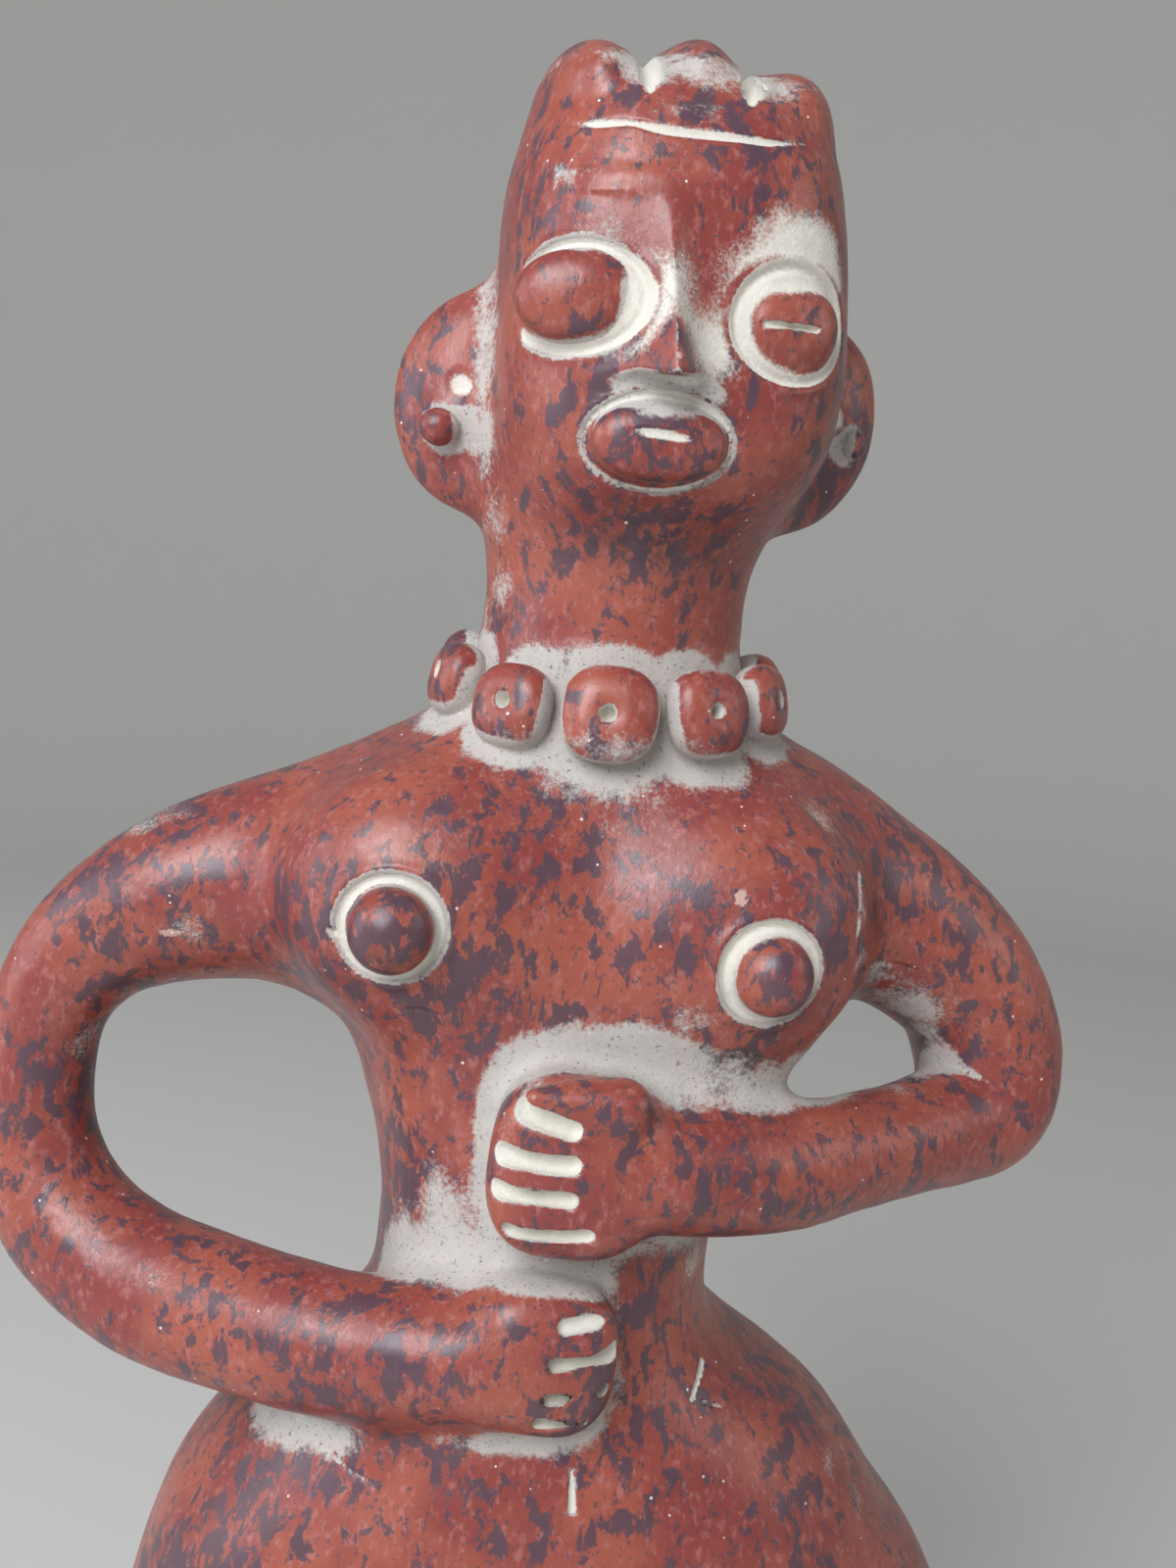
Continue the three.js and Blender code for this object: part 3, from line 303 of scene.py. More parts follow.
_torso, _head = Loft(TORSO_ROWS), Loft(HEAD_ROWS)
_left_arm, _right_arm = Limb(LEFT_ARM, depth=ARM_DEPTH), Limb(RIGHT_ARM, depth=ARM_DEPTH)
STEPS = []  # (how, function, low, high, fillet)


def step(how, fn, low, high, fillet):
    STEPS.append((how, fn, np.array(low, float), np.array(high, float), float(fillet)))


def around(at, r):
    at = np.array(at, float)
    return at - r, at + r


def shape(how, fn, at, half, fillet):
    lo, hi = around(at, max(half))
    step(how, fn, lo, hi, fillet)


def cut(a, b, ra, rb, fillet=0.5, how="carve"):
    a4, b4 = np.array([*a, ra], float), np.array([*b, rb], float)
    r = max(ra, rb)
    step(how, lambda x, y, z: rod(x, y, z, a4, b4), np.minimum(a4, b4)[:3] - r, np.maximum(a4, b4)[:3] + r, fillet)


def line(points, r, fillet=0.35, n=4):
    """An incised line along points (x, y, z), tapered at both ends."""
    rows = spline(points, n)
    t = np.linspace(0, 1, len(rows))
    rad = r * np.clip(np.minimum(t, 1 - t) / 0.12, 0.35, 1.0)
    nodes = np.column_stack([rows, rad])

    def fn(x, y, z):
        d = np.full(x.shape, 1e3)
        for a, b in zip(nodes[:-1], nodes[1:]):
            d = np.minimum(d, rod(x, y, z, a, b))
        return d

    step("carve", fn, nodes[:, :3].min(0) - r, nodes[:, :3].max(0) + r, fillet)


def relief(fn, low, high):
    """fn is added to the distance: positive sinks the surface."""
    step("relief", fn, low, high, 0.0)


def dent(at, half, depth, direction=(0, -1, 0), turn=0.0):
    m = facing(direction, turn)

    def fn(x, y, z):
        p = local(x, y, z, at, m)
        return depth * np.exp(-(p[0] / half[0]) ** 2 - (p[2] / half[2]) ** 2 - (p[1] / half[1]) ** 2)

    lo, hi = around(at, max(half) * 2.2)
    relief(fn, lo, hi)


def ring(at, half, direction, turn, width, depth, lip=0.0, inner=6.0):
    """A groove round an oval pad, with an optional raised lip outside it."""
    m = facing(direction, turn)
    mean = (half[0] + half[2]) / 2

    def fn(x, y, z):
        p = local(x, y, z, at, m)
        k = np.sqrt((p[0] / half[0]) ** 2 + (p[2] / half[2]) ** 2) + 1e-9
        e = (k - 1) * mean
        near = np.exp(-np.maximum(np.abs(p[1]) - inner, 0) ** 2)
        d = depth * np.exp(-(e / width) ** 2)
        if lip:
            d = d - lip * np.exp(-((e - 2.2 * width) / width) ** 2)
        return d * near

    lo, hi = around(at, max(half) + 6)
    relief(fn, lo, hi)


# masses, in the order they are joined
for at, half in FEET:
    shape("join", lambda x, y, z, at=at, half=half: egg((x - at[0], y - at[1], z - at[2]), half), at, half, 6)
step("join", lambda x, y, z: trim(_head(x, y, z), np.maximum(HEAD_ROWS[0][0] - z, z - _head.high), 3),
     (-26, -39, 297), (34, 33, 391), 9)
step("join", lambda x, y, z: _left_arm(x, y, z), (-104, -48, 166), (5, 30, 283), 10)
step("join", lambda x, y, z: _right_arm(x, y, z), (-5, -48, 198), (94, 30, 285), 10)
for at, half in BREASTS:
    shape("join", lambda x, y, z, at=at, half=half: egg((x - at[0], y - at[1], z - at[2]), half), at, half, 14)
for at, half, way, turn in EARS:
    shape("join", lambda x, y, z, at=at, half=half, m=facing(way, turn): egg(local(x, y, z, at, m), half), at, half, 6)
for at, half, turn in HANDS:
    shape("join", lambda x, y, z, at=at, half=half, m=facing((0, -1, 0.02), turn): pillow(local(x, y, z, at, m), half, 2.8),
          at, half, 4)
step("join", nose, (-12, -50, 334), (10, -30, 366), 3.5)
for at, half in HAIR_LOBES:
    shape("join", lambda x, y, z, at=at, half=half: egg((x - at[0], y - at[1], z - at[2]), half), at, half, 2.5)
# the thumb of the upper hand lies along its top edge and ends in a point
cut((-12.2, -45.6, 229.2), (1.5, -43.8, 227.6), 1.7, 4.6, 2.0, "join")
# applied pellets
for at, half in EAR_PELLETS:
    shape("join", lambda x, y, z, at=at, half=half: egg((x - at[0], y - at[1], z - at[2]), half), at, half, 0.8)
for at, half, way, turn in EYES:
    dent((at[0], at[1] - 3, at[2]), (half[0] + 3.5, 9, half[2] + 3.0), 0.8, way, turn)
    shape("join", lambda x, y, z, at=at, half=half, m=facing(way, turn): pillow(local(x, y, z, at, m), half, 2.2),
          at, half, 0.7)
shape("join", lambda x, y, z, m=facing(MOUTH[2], MOUTH[3]): pillow(local(x, y, z, MOUTH[0], m), MOUTH[1], 2.3),
      MOUTH[0], MOUTH[1], 0.8)
for at, r in NIPPLES:
    shape("join", lambda x, y, z, at=at, r=r: egg((x - at[0], y - at[1], z - at[2]), (r, r * 0.95, r * 1.03)),
          at, (r, r, r * 1.03), 0.6)


def bead_frame(angle, z):
    a = np.radians(angle)
    at = np.array([np.sin(a) * NECKLACE["half_x"], NECKLACE["centre_y"] - np.cos(a) * NECKLACE["half_y"], z])
    return at, facing((np.sin(a), -np.cos(a), NECKLACE["tilt"]))


for angle, z0, r, u, v in BEADS:
    at, m = bead_frame(angle, z0)
    t = NECKLACE["half_thickness"]

    def bead(x, y, z, at=at, m=m, r=r, u=u, v=v, t=t):
        p = local(x, y, z, at, m)
        d = pillow(p, (r, t, r), 2.5)
        sink = 0.7 * np.exp(-((p[0] - u) ** 2 + (p[2] - v) ** 2) / 5.5) * (p[1] > 0)
        return d + sink

    shape("join", bead, at, (r, r, r), 0.7)
    hole = at + u * m[0] + v * m[2]
    cut(hole + m[1] * (t + 1.5), hole + m[1] * (t - 2.6), 1.75, 1.1, 0.4)

# the tool's cuts
for a, b, ra, rb in FINGER_CUTS + TOE_CUTS:
    cut(a, b, ra, rb, 0.6)
for at, half in EAR_PITS:
    shape("carve", lambda x, y, z, at=at, half=half: egg((x - at[0], y - at[1], z - at[2]), half), at, half, 0.8)
for (at, half, way, turn), grow in zip(EYES, (1.10, 1.12)):
    ring(at, (half[0] * grow, half[1], half[2] * grow + 0.2), way, turn, 0.75, 0.75, 0.25)
ring(MOUTH[0], (11.0, 5, 6.9), MOUTH[2], MOUTH[3], 0.6, 0.5, 0.15)
for at, r in NIPPLES:
    ring(at, (r + 0.7, r, r + 0.7), (0, -1, 0.05), 0, 0.9, 0.9, 0.35, 9)
# eye slits, lips, navel and the slits on the belly
cut((-20.2, -37.2, 348.3), (-10.6, -38.0, 347.2), 0.55, 0.9, 0.3)
cut((-16.0, -37.4, 348.4), (-11.0, -37.8, 347.7), 0.3, 0.9, 0.3)
cut((12.9, -36.9, 346.5), (21.6, -35.2, 346.6), 0.65, 0.5, 0.3)
cut((-7.4, -40.0, 329.3), (6.2, -40.0, 328.4), 0.75, 0.7, 0.3)
cut((0.8, -40.0, 327.6), (4.8, -39.8, 327.2), 0.3, 0.3, 0.3)
cut((-0.6, -40.7, 165.7), (-0.3, -42.3, 160.0), 0.5, 0.75, 0.3)
cut((22.9, -25.9, 177.1), (19.9, -32.0, 173.4), 0.7, 0.45, 0.3)
cut((22.1, -31.1, 172.5), (25.2, -29.9, 171.0), 0.35, 0.35, 0.3)
# the line across the forehead under the hair, and the two cuts between the lobes
line([(-17.4, -27.2, 373.4), (-13.1, -30.8, 373.3), (-9.3, -32.7, 373.5), (-5.4, -33.9, 372.9), (-0.8, -34.5, 372.6),
      (3.5, -34.5, 372.7), (8.0, -34.3, 372.8), (12.6, -33.4, 373.0), (18.6, -30.2, 374.1)], 0.62)
for x0, z0, points in (
    (-5.5, 0, [(-5.0, 6, 390.5), (-5.2, -8, 389.5), (-5.4, -19, 386.8), (-5.6, -26, 382.6), (-6.0, -29.8, 378.9)]),
    (10.6, 0, [(10.4, 5, 388.4), (10.4, -9, 387.6), (10.2, -20, 385.0), (9.6, -26.6, 381.9), (9.2, -30.2, 378.6)]),
):
    line(points, 1.5, 0.8, 6)
line([(12.8, -17, 387.2), (12.2, -22.4, 385.2), (11.9, -27.6, 381.6)], 0.55)
line([(-7.0, -20.5, 386.6), (-7.0, -25.7, 384.2), (-6.9, -28.8, 380.6)], 0.4)
line([(-2.8, -36.2, 366.4), (-1.2, -36.3, 367.1), (0.4, -36.1, 367.3)], 0.3)
# creases and cracks where the arms and the upper hand were pressed on
line([(41.6, -22.9, 264.2), (40.0, -28.3, 261.0), (39.8, -30.9, 257.0), (39.6, -32.3, 252.8)], 0.45)
line([(39.8, -31.2, 248.4), (44.5, -22.6, 246.6), (49.6, -14.6, 245.0), (54.0, -12.9, 244.6), (58.4, -12.6, 243.3)], 0.4)
line([(-10.0, -37.9, 232.6), (-3.0, -38.3, 233.4), (4.0, -38.0, 232.9), (11.0, -37.3, 230.2), (18.0, -36.7, 227.4)], 0.45)
line([(-33.8, -32.3, 237.8), (-30.0, -33.9, 238.6), (-26.4, -34.3, 238.0)], 0.35)
line([(-45.2, -32.6, 250.6), (-43.6, -33.3, 249.6), (-42.4, -34.2, 247.6)], 0.6)
line([(-42.6, -26.9, 163.4), (-37.7, -31.9, 161.9), (-32.2, -36.0, 160.4)], 0.35)
line([(-17.4, -43.2, 176.6), (-13.6, -42.9, 174.0), (-9.6, -40.0, 171.2)], 0.35)


def base_and_legs(x, y, z):
    d = trim(_torso(x, y, z), np.maximum(z - 330, 6 - z), 4)
    g = LEG_GAP
    gap = np.abs(x - g["x"]) - (g["bottom"] + (g["top"] - g["bottom"]) * np.clip(z / g["closes"], 0, 1.4))
    return carve(d, np.maximum(gap, (z - g["closes"]) * 0.8), g["fillet"])


def clay(P, reach=3.0, skip=()):
    """Distance to the surface, negative inside, for points within about `reach` of it."""
    x, y, z = P[:, 0], P[:, 1], P[:, 2]
    d = base_and_legs(x, y, z)
    for how, fn, lo, hi, k in STEPS:
        if how in skip:
            continue
        pad = reach + k if how != "relief" else 0.0
        lo, hi = lo - pad, hi + pad
        m = np.flatnonzero((z > lo[2]) & (z < hi[2]))
        if not len(m):
            continue
        m = m[(x[m] > lo[0]) & (x[m] < hi[0]) & (y[m] > lo[1]) & (y[m] < hi[1])]
        if not len(m):
            continue
        v = fn(x[m], y[m], z[m])
        if how == "join":
            d[m] = join(d[m], v, k)
        elif how == "carve":
            d[m] = carve(d[m], v, k)
        else:
            d[m] += v
    m = np.flatnonzero(z < BASE["height"] + BASE["fillet"] + reach + 12)
    if len(m):
        e = egg((x[m], y[m], 0 * z[m]), (BASE["half_width"], BASE["half_depth"], 1.0))
        d[m] = join(d[m], trim(e, np.maximum(z[m] - BASE["height"], -z[m] - 4), 3), BASE["fillet"])
        d[m] = np.maximum(d[m], -z[m])
    return d


# ---------------------------------------------------------------- unevenness


def lattice(i, j, k, seed):
    h = (i * 374761393 + j * 668265263 + k * 2147483647 + seed * 974634777) & 0x7FFFFFFF
    h = (h ^ (h >> 13)) * 1274126177 & 0x7FFFFFFF
    h = (h ^ (h >> 16)) * 2246822519 & 0x7FFFFFFF
    return (h & 0xFFFFF) / 524288.0 - 1.0


def ripple(P, size, seed):
    """Smooth noise between about -1 and 1, with bumps `size` apart."""
    q = P / size
    i = np.floor(q).astype(np.int64)
    f = q - i
    f = f * f * f * (f * (f * 6 - 15) + 10)
    out = 0.0
    for c in range(8):
        a, b, e = c & 1, (c >> 1) & 1, c >> 2
        w = (f[:, 0] if a else 1 - f[:, 0]) * (f[:, 1] if b else 1 - f[:, 1]) * (f[:, 2] if e else 1 - f[:, 2])
        out = out + w * lattice(i[:, 0] + a, i[:, 1] + b, i[:, 2] + e, seed)
    return out


def uneven(P):
    return (0.30 * ripple(P, 17.0, 3) + 0.14 * ripple(P + 31.7, 7.3, 5)
            + 0.05 * ripple(P + 11.3, 3.1, 7) + 0.022 * ripple(P + 5.1, 1.5, 9))


def skin(P, reach=3.0):
    d = clay(P, reach)
    flat = np.clip(P[:, 2] / 1.5, 0, 1)  # the underside stays flat
    return np.maximum(d + uneven(P) * flat, -P[:, 2])


def in_parts(fn, P, size=150000):
    return np.concatenate([fn(P[i:i + size]) for i in range(0, len(P), size)]) if len(P) else np.zeros(0)


def slope(fn, P, e=0.06):
    g = np.empty_like(P)
    for k in range(3):
        q = np.zeros(3)
        q[k] = e
        g[:, k] = (in_parts(fn, P + q) - in_parts(fn, P - q)) / (2 * e)
    return g


def settle(fn, P, rounds, limit):
    """Moves points onto the surface."""
    for _ in range(rounds):
        d = in_parts(fn, P)
        g = slope(fn, P)
        s = np.clip(d / np.maximum((g * g).sum(1), 0.3), -limit, limit)
        P = P - g * s[:, None]
        P[:, 2] = np.maximum(P[:, 2], 0.0)
    return P


# ---------------------------------------------------------------- surface mesh


def cells_near(fn, low, high, size, finest):
    """Indices of the finest cells near the surface, found by halving."""
    n = np.ceil((high - low) / size).astype(int)
    idx = np.stack(np.meshgrid(*[np.arange(v) for v in n], indexing="ij"), -1).reshape(-1, 3)
    while True:
        c = low + (idx + 0.5) * size
        d = in_parts(lambda p: fn(p, size + 2.0), c)
        idx = idx[np.abs(d) < size * 0.87 * 1.15 + (0.8 if size > finest * 1.5 else 0.35)]
        if size <= finest * 1.001:
            return idx
        size /= 2
        idx = (idx[:, None, :] * 2 + np.array([[i, j, k] for i in (0, 1) for j in (0, 1) for k in (0, 1)])).reshape(-1, 3)


def surface(fn, low, high, finest, halvings=3):
    """Quads of the zero level, from a grid kept only near the surface."""
    low, high = np.array(low, float), np.array(high, float)
    cells = cells_near(fn, low, high, finest * 2**halvings, finest)
    n = cells.max(0) + 3
    value = np.full(n.prod(), np.nan, np.float32)
    flat = (cells[:, 0] * n[1] + cells[:, 1]) * n[2] + cells[:, 2]
    corner = np.array([[i, j, k] for i in (0, 1) for j in (0, 1) for k in (0, 1)])
    off = (corner[:, 0] * n[1] + corner[:, 1]) * n[2] + corner[:, 2]
    need = np.zeros(n.prod(), bool)
    for o in off:
        need[flat + o] = True
    ids = np.flatnonzero(need)
    pts = np.stack([ids // (n[1] * n[2]), ids // n[2] % n[1], ids % n[2]], 1) * finest + low
    value[ids] = in_parts(lambda p: fn(p, 3.0), pts)
    v = value[flat[:, None] + off[None, :]]
    inside = v < 0
    live = inside.any(1) & ~inside.all(1)
    flat, v, inside = flat[live], v[live], inside[live]
    edges = [(a, b) for a in range(8) for b in range(a + 1, 8) if (a ^ b) in (1, 2, 4)]
    total = np.zeros((len(flat), 3))
    hits = np.zeros(len(flat))
    for a, b in edges:
        m = inside[:, a] != inside[:, b]
        t = v[m, a] / (v[m, a] - v[m, b])
        total[m] += corner[a] + t[:, None] * (corner[b] - corner[a])
        hits[m] += 1
    base = np.stack([flat // (n[1] * n[2]), flat // n[2] % n[1], flat % n[2]], 1)
    verts = (base + total / hits[:, None]) * finest + low
    vertex = np.full(n.prod(), -1, np.int32)
    vertex[flat] = np.arange(len(flat), dtype=np.int32)
    stride = (n[1] * n[2], n[2], 1)
    quads = []
    for axis in range(3):
        a, b = [q for q in range(3) if q != axis]
        # the cell's own corner 0 and its neighbour along the axis
        bit = 4 >> axis
        m = inside[:, 0] != inside[:, bit]
        f, start_in = flat[m], inside[m, 0]
        q = np.stack([vertex[f], vertex[f - stride[a]], vertex[f - stride[a] - stride[b]], vertex[f - stride[b]]], 1)
        ok = (q >= 0).all(1)
        q, start_in = q[ok], start_in[ok]
        turn = start_in if axis != 1 else ~start_in
        q[~turn] = q[~turn][:, ::-1]
        quads.append(q)
    return verts, np.concatenate(quads)


# ---------------------------------------------------------------- the visual mesh


def keep_largest(verts, quads):
    """Drops sealed pockets of air and crumbs."""
    label = np.arange(len(verts))
    e = np.concatenate([quads[:, [0, 1]], quads[:, [1, 2]], quads[:, [2, 3]]])
    while True:
        low = np.minimum(label[e[:, 0]], label[e[:, 1]])
        new = label.copy()
        np.minimum.at(new, label[e[:, 0]], low)
        np.minimum.at(new, label[e[:, 1]], low)
        new = new[new]
        new = new[new]
        if (new == label).all():
            break
        label = new
    names, counts = np.unique(label[quads[:, 0]], return_counts=True)
    keep = label == names[counts.argmax()]
    index = np.cumsum(keep) - 1
    return verts[keep], index[quads[keep[quads[:, 0]]]]


def new_mesh(name, verts, faces):
    me = bpy.data.meshes.new(name)
    n, k = faces.shape
    me.vertices.add(len(verts))
    me.vertices.foreach_set("co", np.ascontiguousarray(verts, np.float32).ravel())
    me.loops.add(n * k)
    me.loops.foreach_set("vertex_index", faces.astype(np.int32).ravel())
    me.polygons.add(n)
    me.polygons.foreach_set("loop_start", np.arange(0, n * k, k, dtype=np.int32))
    me.polygons.foreach_set("use_smooth", np.ones(n, bool))
    me.update(calc_edges=True)
    me.validate()
    return me


def thinned(obj, triangles):
    """The object's mesh with the flatter parts thinned out."""
    count = sum(len(p.vertices) - 2 for p in obj.data.polygons)
    mod = obj.modifiers.new("thin", "DECIMATE")
    mod.ratio = min(1.0, triangles / count)
    mod.use_collapse_triangulate = True
    dg = bpy.context.evaluated_depsgraph_get()
    me = bpy.data.meshes.new_from_object(obj.evaluated_get(dg))
    obj.modifiers.clear()
    return me


GRID_MM = 0.55
TRIANGLES = 190000
verts, quads = surface(lambda p, r: clay(p, r), (-106.3, -53.1, -2.2), (96.2, 54.3, 397.1), GRID_MM)
verts, quads = keep_largest(verts, quads)
rough = bpy.data.objects.new("rough", new_mesh("rough", verts, quads))
bpy.context.collection.objects.link(rough)
mesh = thinned(rough, TRIANGLES)
bpy.data.objects.remove(rough)
mesh.name = "figurine_clay"

P = np.empty(len(mesh.vertices) * 3, np.float32)
mesh.vertices.foreach_get("co", P)
P = settle(skin, P.reshape(-1, 3).astype(float), 3, 0.4)
N = slope(skin, P, 0.12)
N /= np.linalg.norm(N, axis=1)[:, None] + 1e-9
N[P[:, 2] < 0.02] = (0, 0, -1)

# how much clay stands round each point (a recess), and how deep it lies in a cut
hollow = np.zeros(len(P))
for h, w in ((1.5, 0.2), (3.0, 0.3), (6.0, 0.3), (11.0, 0.2)):
    hollow += w * np.clip(1 - in_parts(lambda p: clay(p, 12.0), P + N * h) / h, 0, 1.5)
cut_depth = np.maximum(-in_parts(lambda p: clay(p, 3.0, ("carve", "relief")), P), 0)


def blot(spots):
    """0 to 1, from soft ovals (centre, half sizes, strength)."""
    out = np.zeros(len(P))
    for at, half, strength in spots:
        q = (P - np.array(at)) / np.array(half)
        out = np.maximum(out, strength * np.exp(-np.minimum((q * q).sum(1), 30.0)))
    return out


# Where pale earth was left on the slip, beyond the recesses it fills by itself.
EARTH = [
    ((-12, -34, 356.5), (7.5, 8, 4.2), 0.62), ((-6.5, -37, 352), (3.0, 8, 7.5), 0.62),
    ((-9.5, -36, 340.8), (8, 8, 3.2), 0.60), ((-17, -32, 340.5), (6, 8, 2.6), 0.52),
    ((6.6, -37, 347), (3.2, 8, 8), 0.55), ((14.5, -35, 355), (8, 8, 2.8), 0.42), ((10, -36, 340), (5, 8, 2.6), 0.45),
    ((-26, -6, 341), (3.2, 9, 13), 0.72), ((-24.4, -9, 327), (3.0, 9, 9), 0.66), ((-22, -10, 316), (3.0, 10, 8), 0.62),
    ((-20.6, -9, 305), (3.4, 9, 8), 0.60), ((-22, -2, 299), (5, 8, 5), 0.55),
    ((28.5, -14, 333), (2.6, 12, 12), 0.45), ((22, -20, 320), (4, 10, 6), 0.42), ((34, -8, 332), (4, 8, 3.6), 0.50),
    ((-2, -22, 294.6), (24, 12, 3.0), 0.74), ((-2, -26, 280.5), (23, 13, 6.5), 0.70), ((-3, -28, 273.5), (21, 10, 5.0), 0.46),
    ((-27, -8, 281), (9, 12, 4.0), 0.66), ((27, -8, 281.5), (9, 12, 4.0), 0.55), ((0, 18, 285), (28, 18, 7), 0.40),
    ((3, -37, 235.6), (14, 9, 4.2), 0.86), ((-11, -36, 230.5), (7, 10, 5), 0.80), ((13, -37, 240.5), (6, 7, 4), 0.64),
    ((-18, -33, 222), (3.6, 9, 10), 0.62), ((-22.5, -28, 203), (8.5, 10, 11), 0.84), ((-30, -22, 199), (5, 10, 7), 0.55),
    ((-17, -33, 197.5), (9, 8, 3.2), 0.80),
    ((58, -10, 236), (9, 9, 7.0), 0.88), ((49, -13, 243), (7, 10, 4.6), 0.74), ((41, -27, 250), (4, 8, 5), 0.62),
    ((52, -15, 225.6), (10, 8, 3.0), 0.64), ((40.5, -29, 257), (1.8, 8, 8), 0.55), ((60, -12, 226), (5, 8, 4), 0.66),
    ((-12, -40, 169.6), (8, 8, 2.6), 0.72), ((6.6, -36, 178), (3.2, 7, 8), 0.46), ((3, -38, 171.5), (5, 7, 3), 0.46),
    ((-41, -30, 256), (4, 6, 6), 0.34), ((-47.6, -30.3, 259), (2.2, 6, 4), 0.42), ((-70, -13, 243), (7, 5, 1.6), 0.40),
    ((-34, -28, 226), (4, 12, 8), 0.30), ((-4, -33, 376), (14, 8, 2.0), 0.44), ((-5.4, -24, 384), (1.5, 12, 6), 0.62),
    ((11.4, -24, 384), (1.6, 12, 5), 0.58), ((0, -30, 12), (40, 18, 3.5), 0.30), ((0, 0, 9.5), (52, 38, 1.5), 0.34),
    ((1, 0, 40), (4, 30, 34), 0.36),
]
# Painted shade, darkening the slip where shadow falls: under the nose, under the chin, under the upper hand, under the
# right forearm and the right breast, and down the right side of the head; also a dark spot low on the left nipple.
PAINTED_SHADE_AND_SPOT = [
    ((-36.2, -44.2, 248.6), (2.6, 3, 2.2), 1.0), ((20, -35, 232), (8, 6, 4.2), 0.8), ((25.5, -30, 228), (5, 8, 4), 0.8),
    ((0, -38, 334.6), (8, 6, 2.6), 0.7), ((2, -30, 313), (20, 12, 5), 0.6), ((8, -38, 201), (14, 8, 4), 0.55),
    ((35, -28, 204), (22, 10, 3.4), 0.55), ((25, -20, 345), (6, 20, 30), 0.45),
]
SCUFF = [
    ((18.2, -38.4, 260.4), (1.6, 3, 2.4), 0.9), ((31.6, -39.8, 246.8), (1.0, 3, 1.9), 1.0), ((-10.2, -27.6, 282.9), (1.6, 3, 1.3), 0.8),
    ((-70.5, -12.8, 243.4), (4.5, 3, 1.2), 0.8), ((-0.6, -46.4, 339.6), (1.5, 3, 1.3), 0.8), ((-18.5, -36.5, 135), (1.2, 5, 1.6), 0.7),
]

recess = np.clip((hollow - 0.10) / 0.42, 0, 1)
recess = recess * recess * (3 - 2 * recess)
earth = np.clip(0.78 * recess + 0.85 * blot(EARTH), 0, 1.25)
earth *= np.clip((P[:, 2] - 0.3) / 2.0, 0, 1)

scale = 0.001
co = np.ascontiguousarray(P * scale, np.float32)
mesh.vertices.foreach_set("co", co.ravel())
mesh.update()
mesh.normals_split_custom_set_from_vertices(N.astype(np.float32))
# the attributes stored here include the painted shade (with the nipple's dark spot) from the table above
for name, values in (("earth", earth), ("cut", np.clip(cut_depth, 0, 3)), ("painted_shade_and_spot", blot(PAINTED_SHADE_AND_SPOT)), ("scuff", blot(SCUFF)),
                     ("recess", np.clip(hollow, 0, 1))):
    mesh.attributes.new(name, "FLOAT", "POINT").data.foreach_set("value", values.astype(np.float32))

figure = bpy.data.objects.new("figurine_clay", mesh)
bpy.context.collection.objects.link(figure)
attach(figure, "root")
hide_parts("figurine")


# ---------------------------------------------------------------- materials


class Nodes:
    """A short way to write a node tree. Sizes given to it are in mm."""

    def __init__(self, name):
        self.mat = bpy.data.materials.new(name)
        self.mat.use_nodes = True
        self.tree = self.mat.node_tree
        self.tree.nodes.clear()
        self.out = self.tree.nodes.new("ShaderNodeOutputMaterial")

    def put(self, socket, value):
        if isinstance(value, bpy.types.NodeSocket):
            self.tree.links.new(value, socket)
        elif value is not None:
            socket.default_value = value

    def add(self, kind, inputs=(), **props):
        n = self.tree.nodes.new(kind)
        for k, v in props.items():
            setattr(n, k, v)
        for k, v in dict(inputs).items():
            self.put(n.inputs[k], v)
        return n

    def math(self, op, a, b=None, c=None, clamp=False):
        n = self.add("ShaderNodeMath", operation=op, use_clamp=clamp)
        for i, v in enumerate((a, b, c)):
            if v is not None:
                self.put(n.inputs[i], v)
        return n.outputs[0]

    def place(self, stretch=(1, 1, 1), shift=(0, 0, 0)):
        if not hasattr(self, "coord"):
            self.coord = self.add("ShaderNodeTexCoord").outputs["Object"]
        n = self.add("ShaderNodeMapping", {"Vector": self.coord, "Location": shift,
                                           "Scale": [1000 * s for s in stretch]})
        return n.outputs[0]

    def noise(self, size, detail=3.0, rough=0.5, where=None, distortion=0.0):
        n = self.add("ShaderNodeTexNoise", {"Vector": where or self.place(), "Scale": 1 / size, "Detail": detail,
                                            "Roughness": rough, "Distortion": distortion})
        return n.outputs["Fac"]

    def between(self, v, lo, hi, smooth=True):
        n = self.add("ShaderNodeMapRange", interpolation_type="SMOOTHSTEP" if smooth else "LINEAR", clamp=True) \
            if not smooth else self.add("ShaderNodeMapRange", interpolation_type="SMOOTHSTEP")
        self.put(n.inputs["Value"], v)
        self.put(n.inputs["From Min"], lo)
        self.put(n.inputs["From Max"], hi)
        return n.outputs["Result"]

    def mix(self, fac, a, b, blend="MIX"):
        n = self.add("ShaderNodeMix", data_type="RGBA", blend_type=blend)
        self.put(n.inputs[0], fac)
        self.put(n.inputs[6], a if isinstance(a, bpy.types.NodeSocket) else (*a, 1))
        self.put(n.inputs[7], b if isinstance(b, bpy.types.NodeSocket) else (*b, 1))
        return n.outputs[2]

    def attribute(self, name):
        return self.add("ShaderNodeAttribute", attribute_name=name).outputs["Fac"]


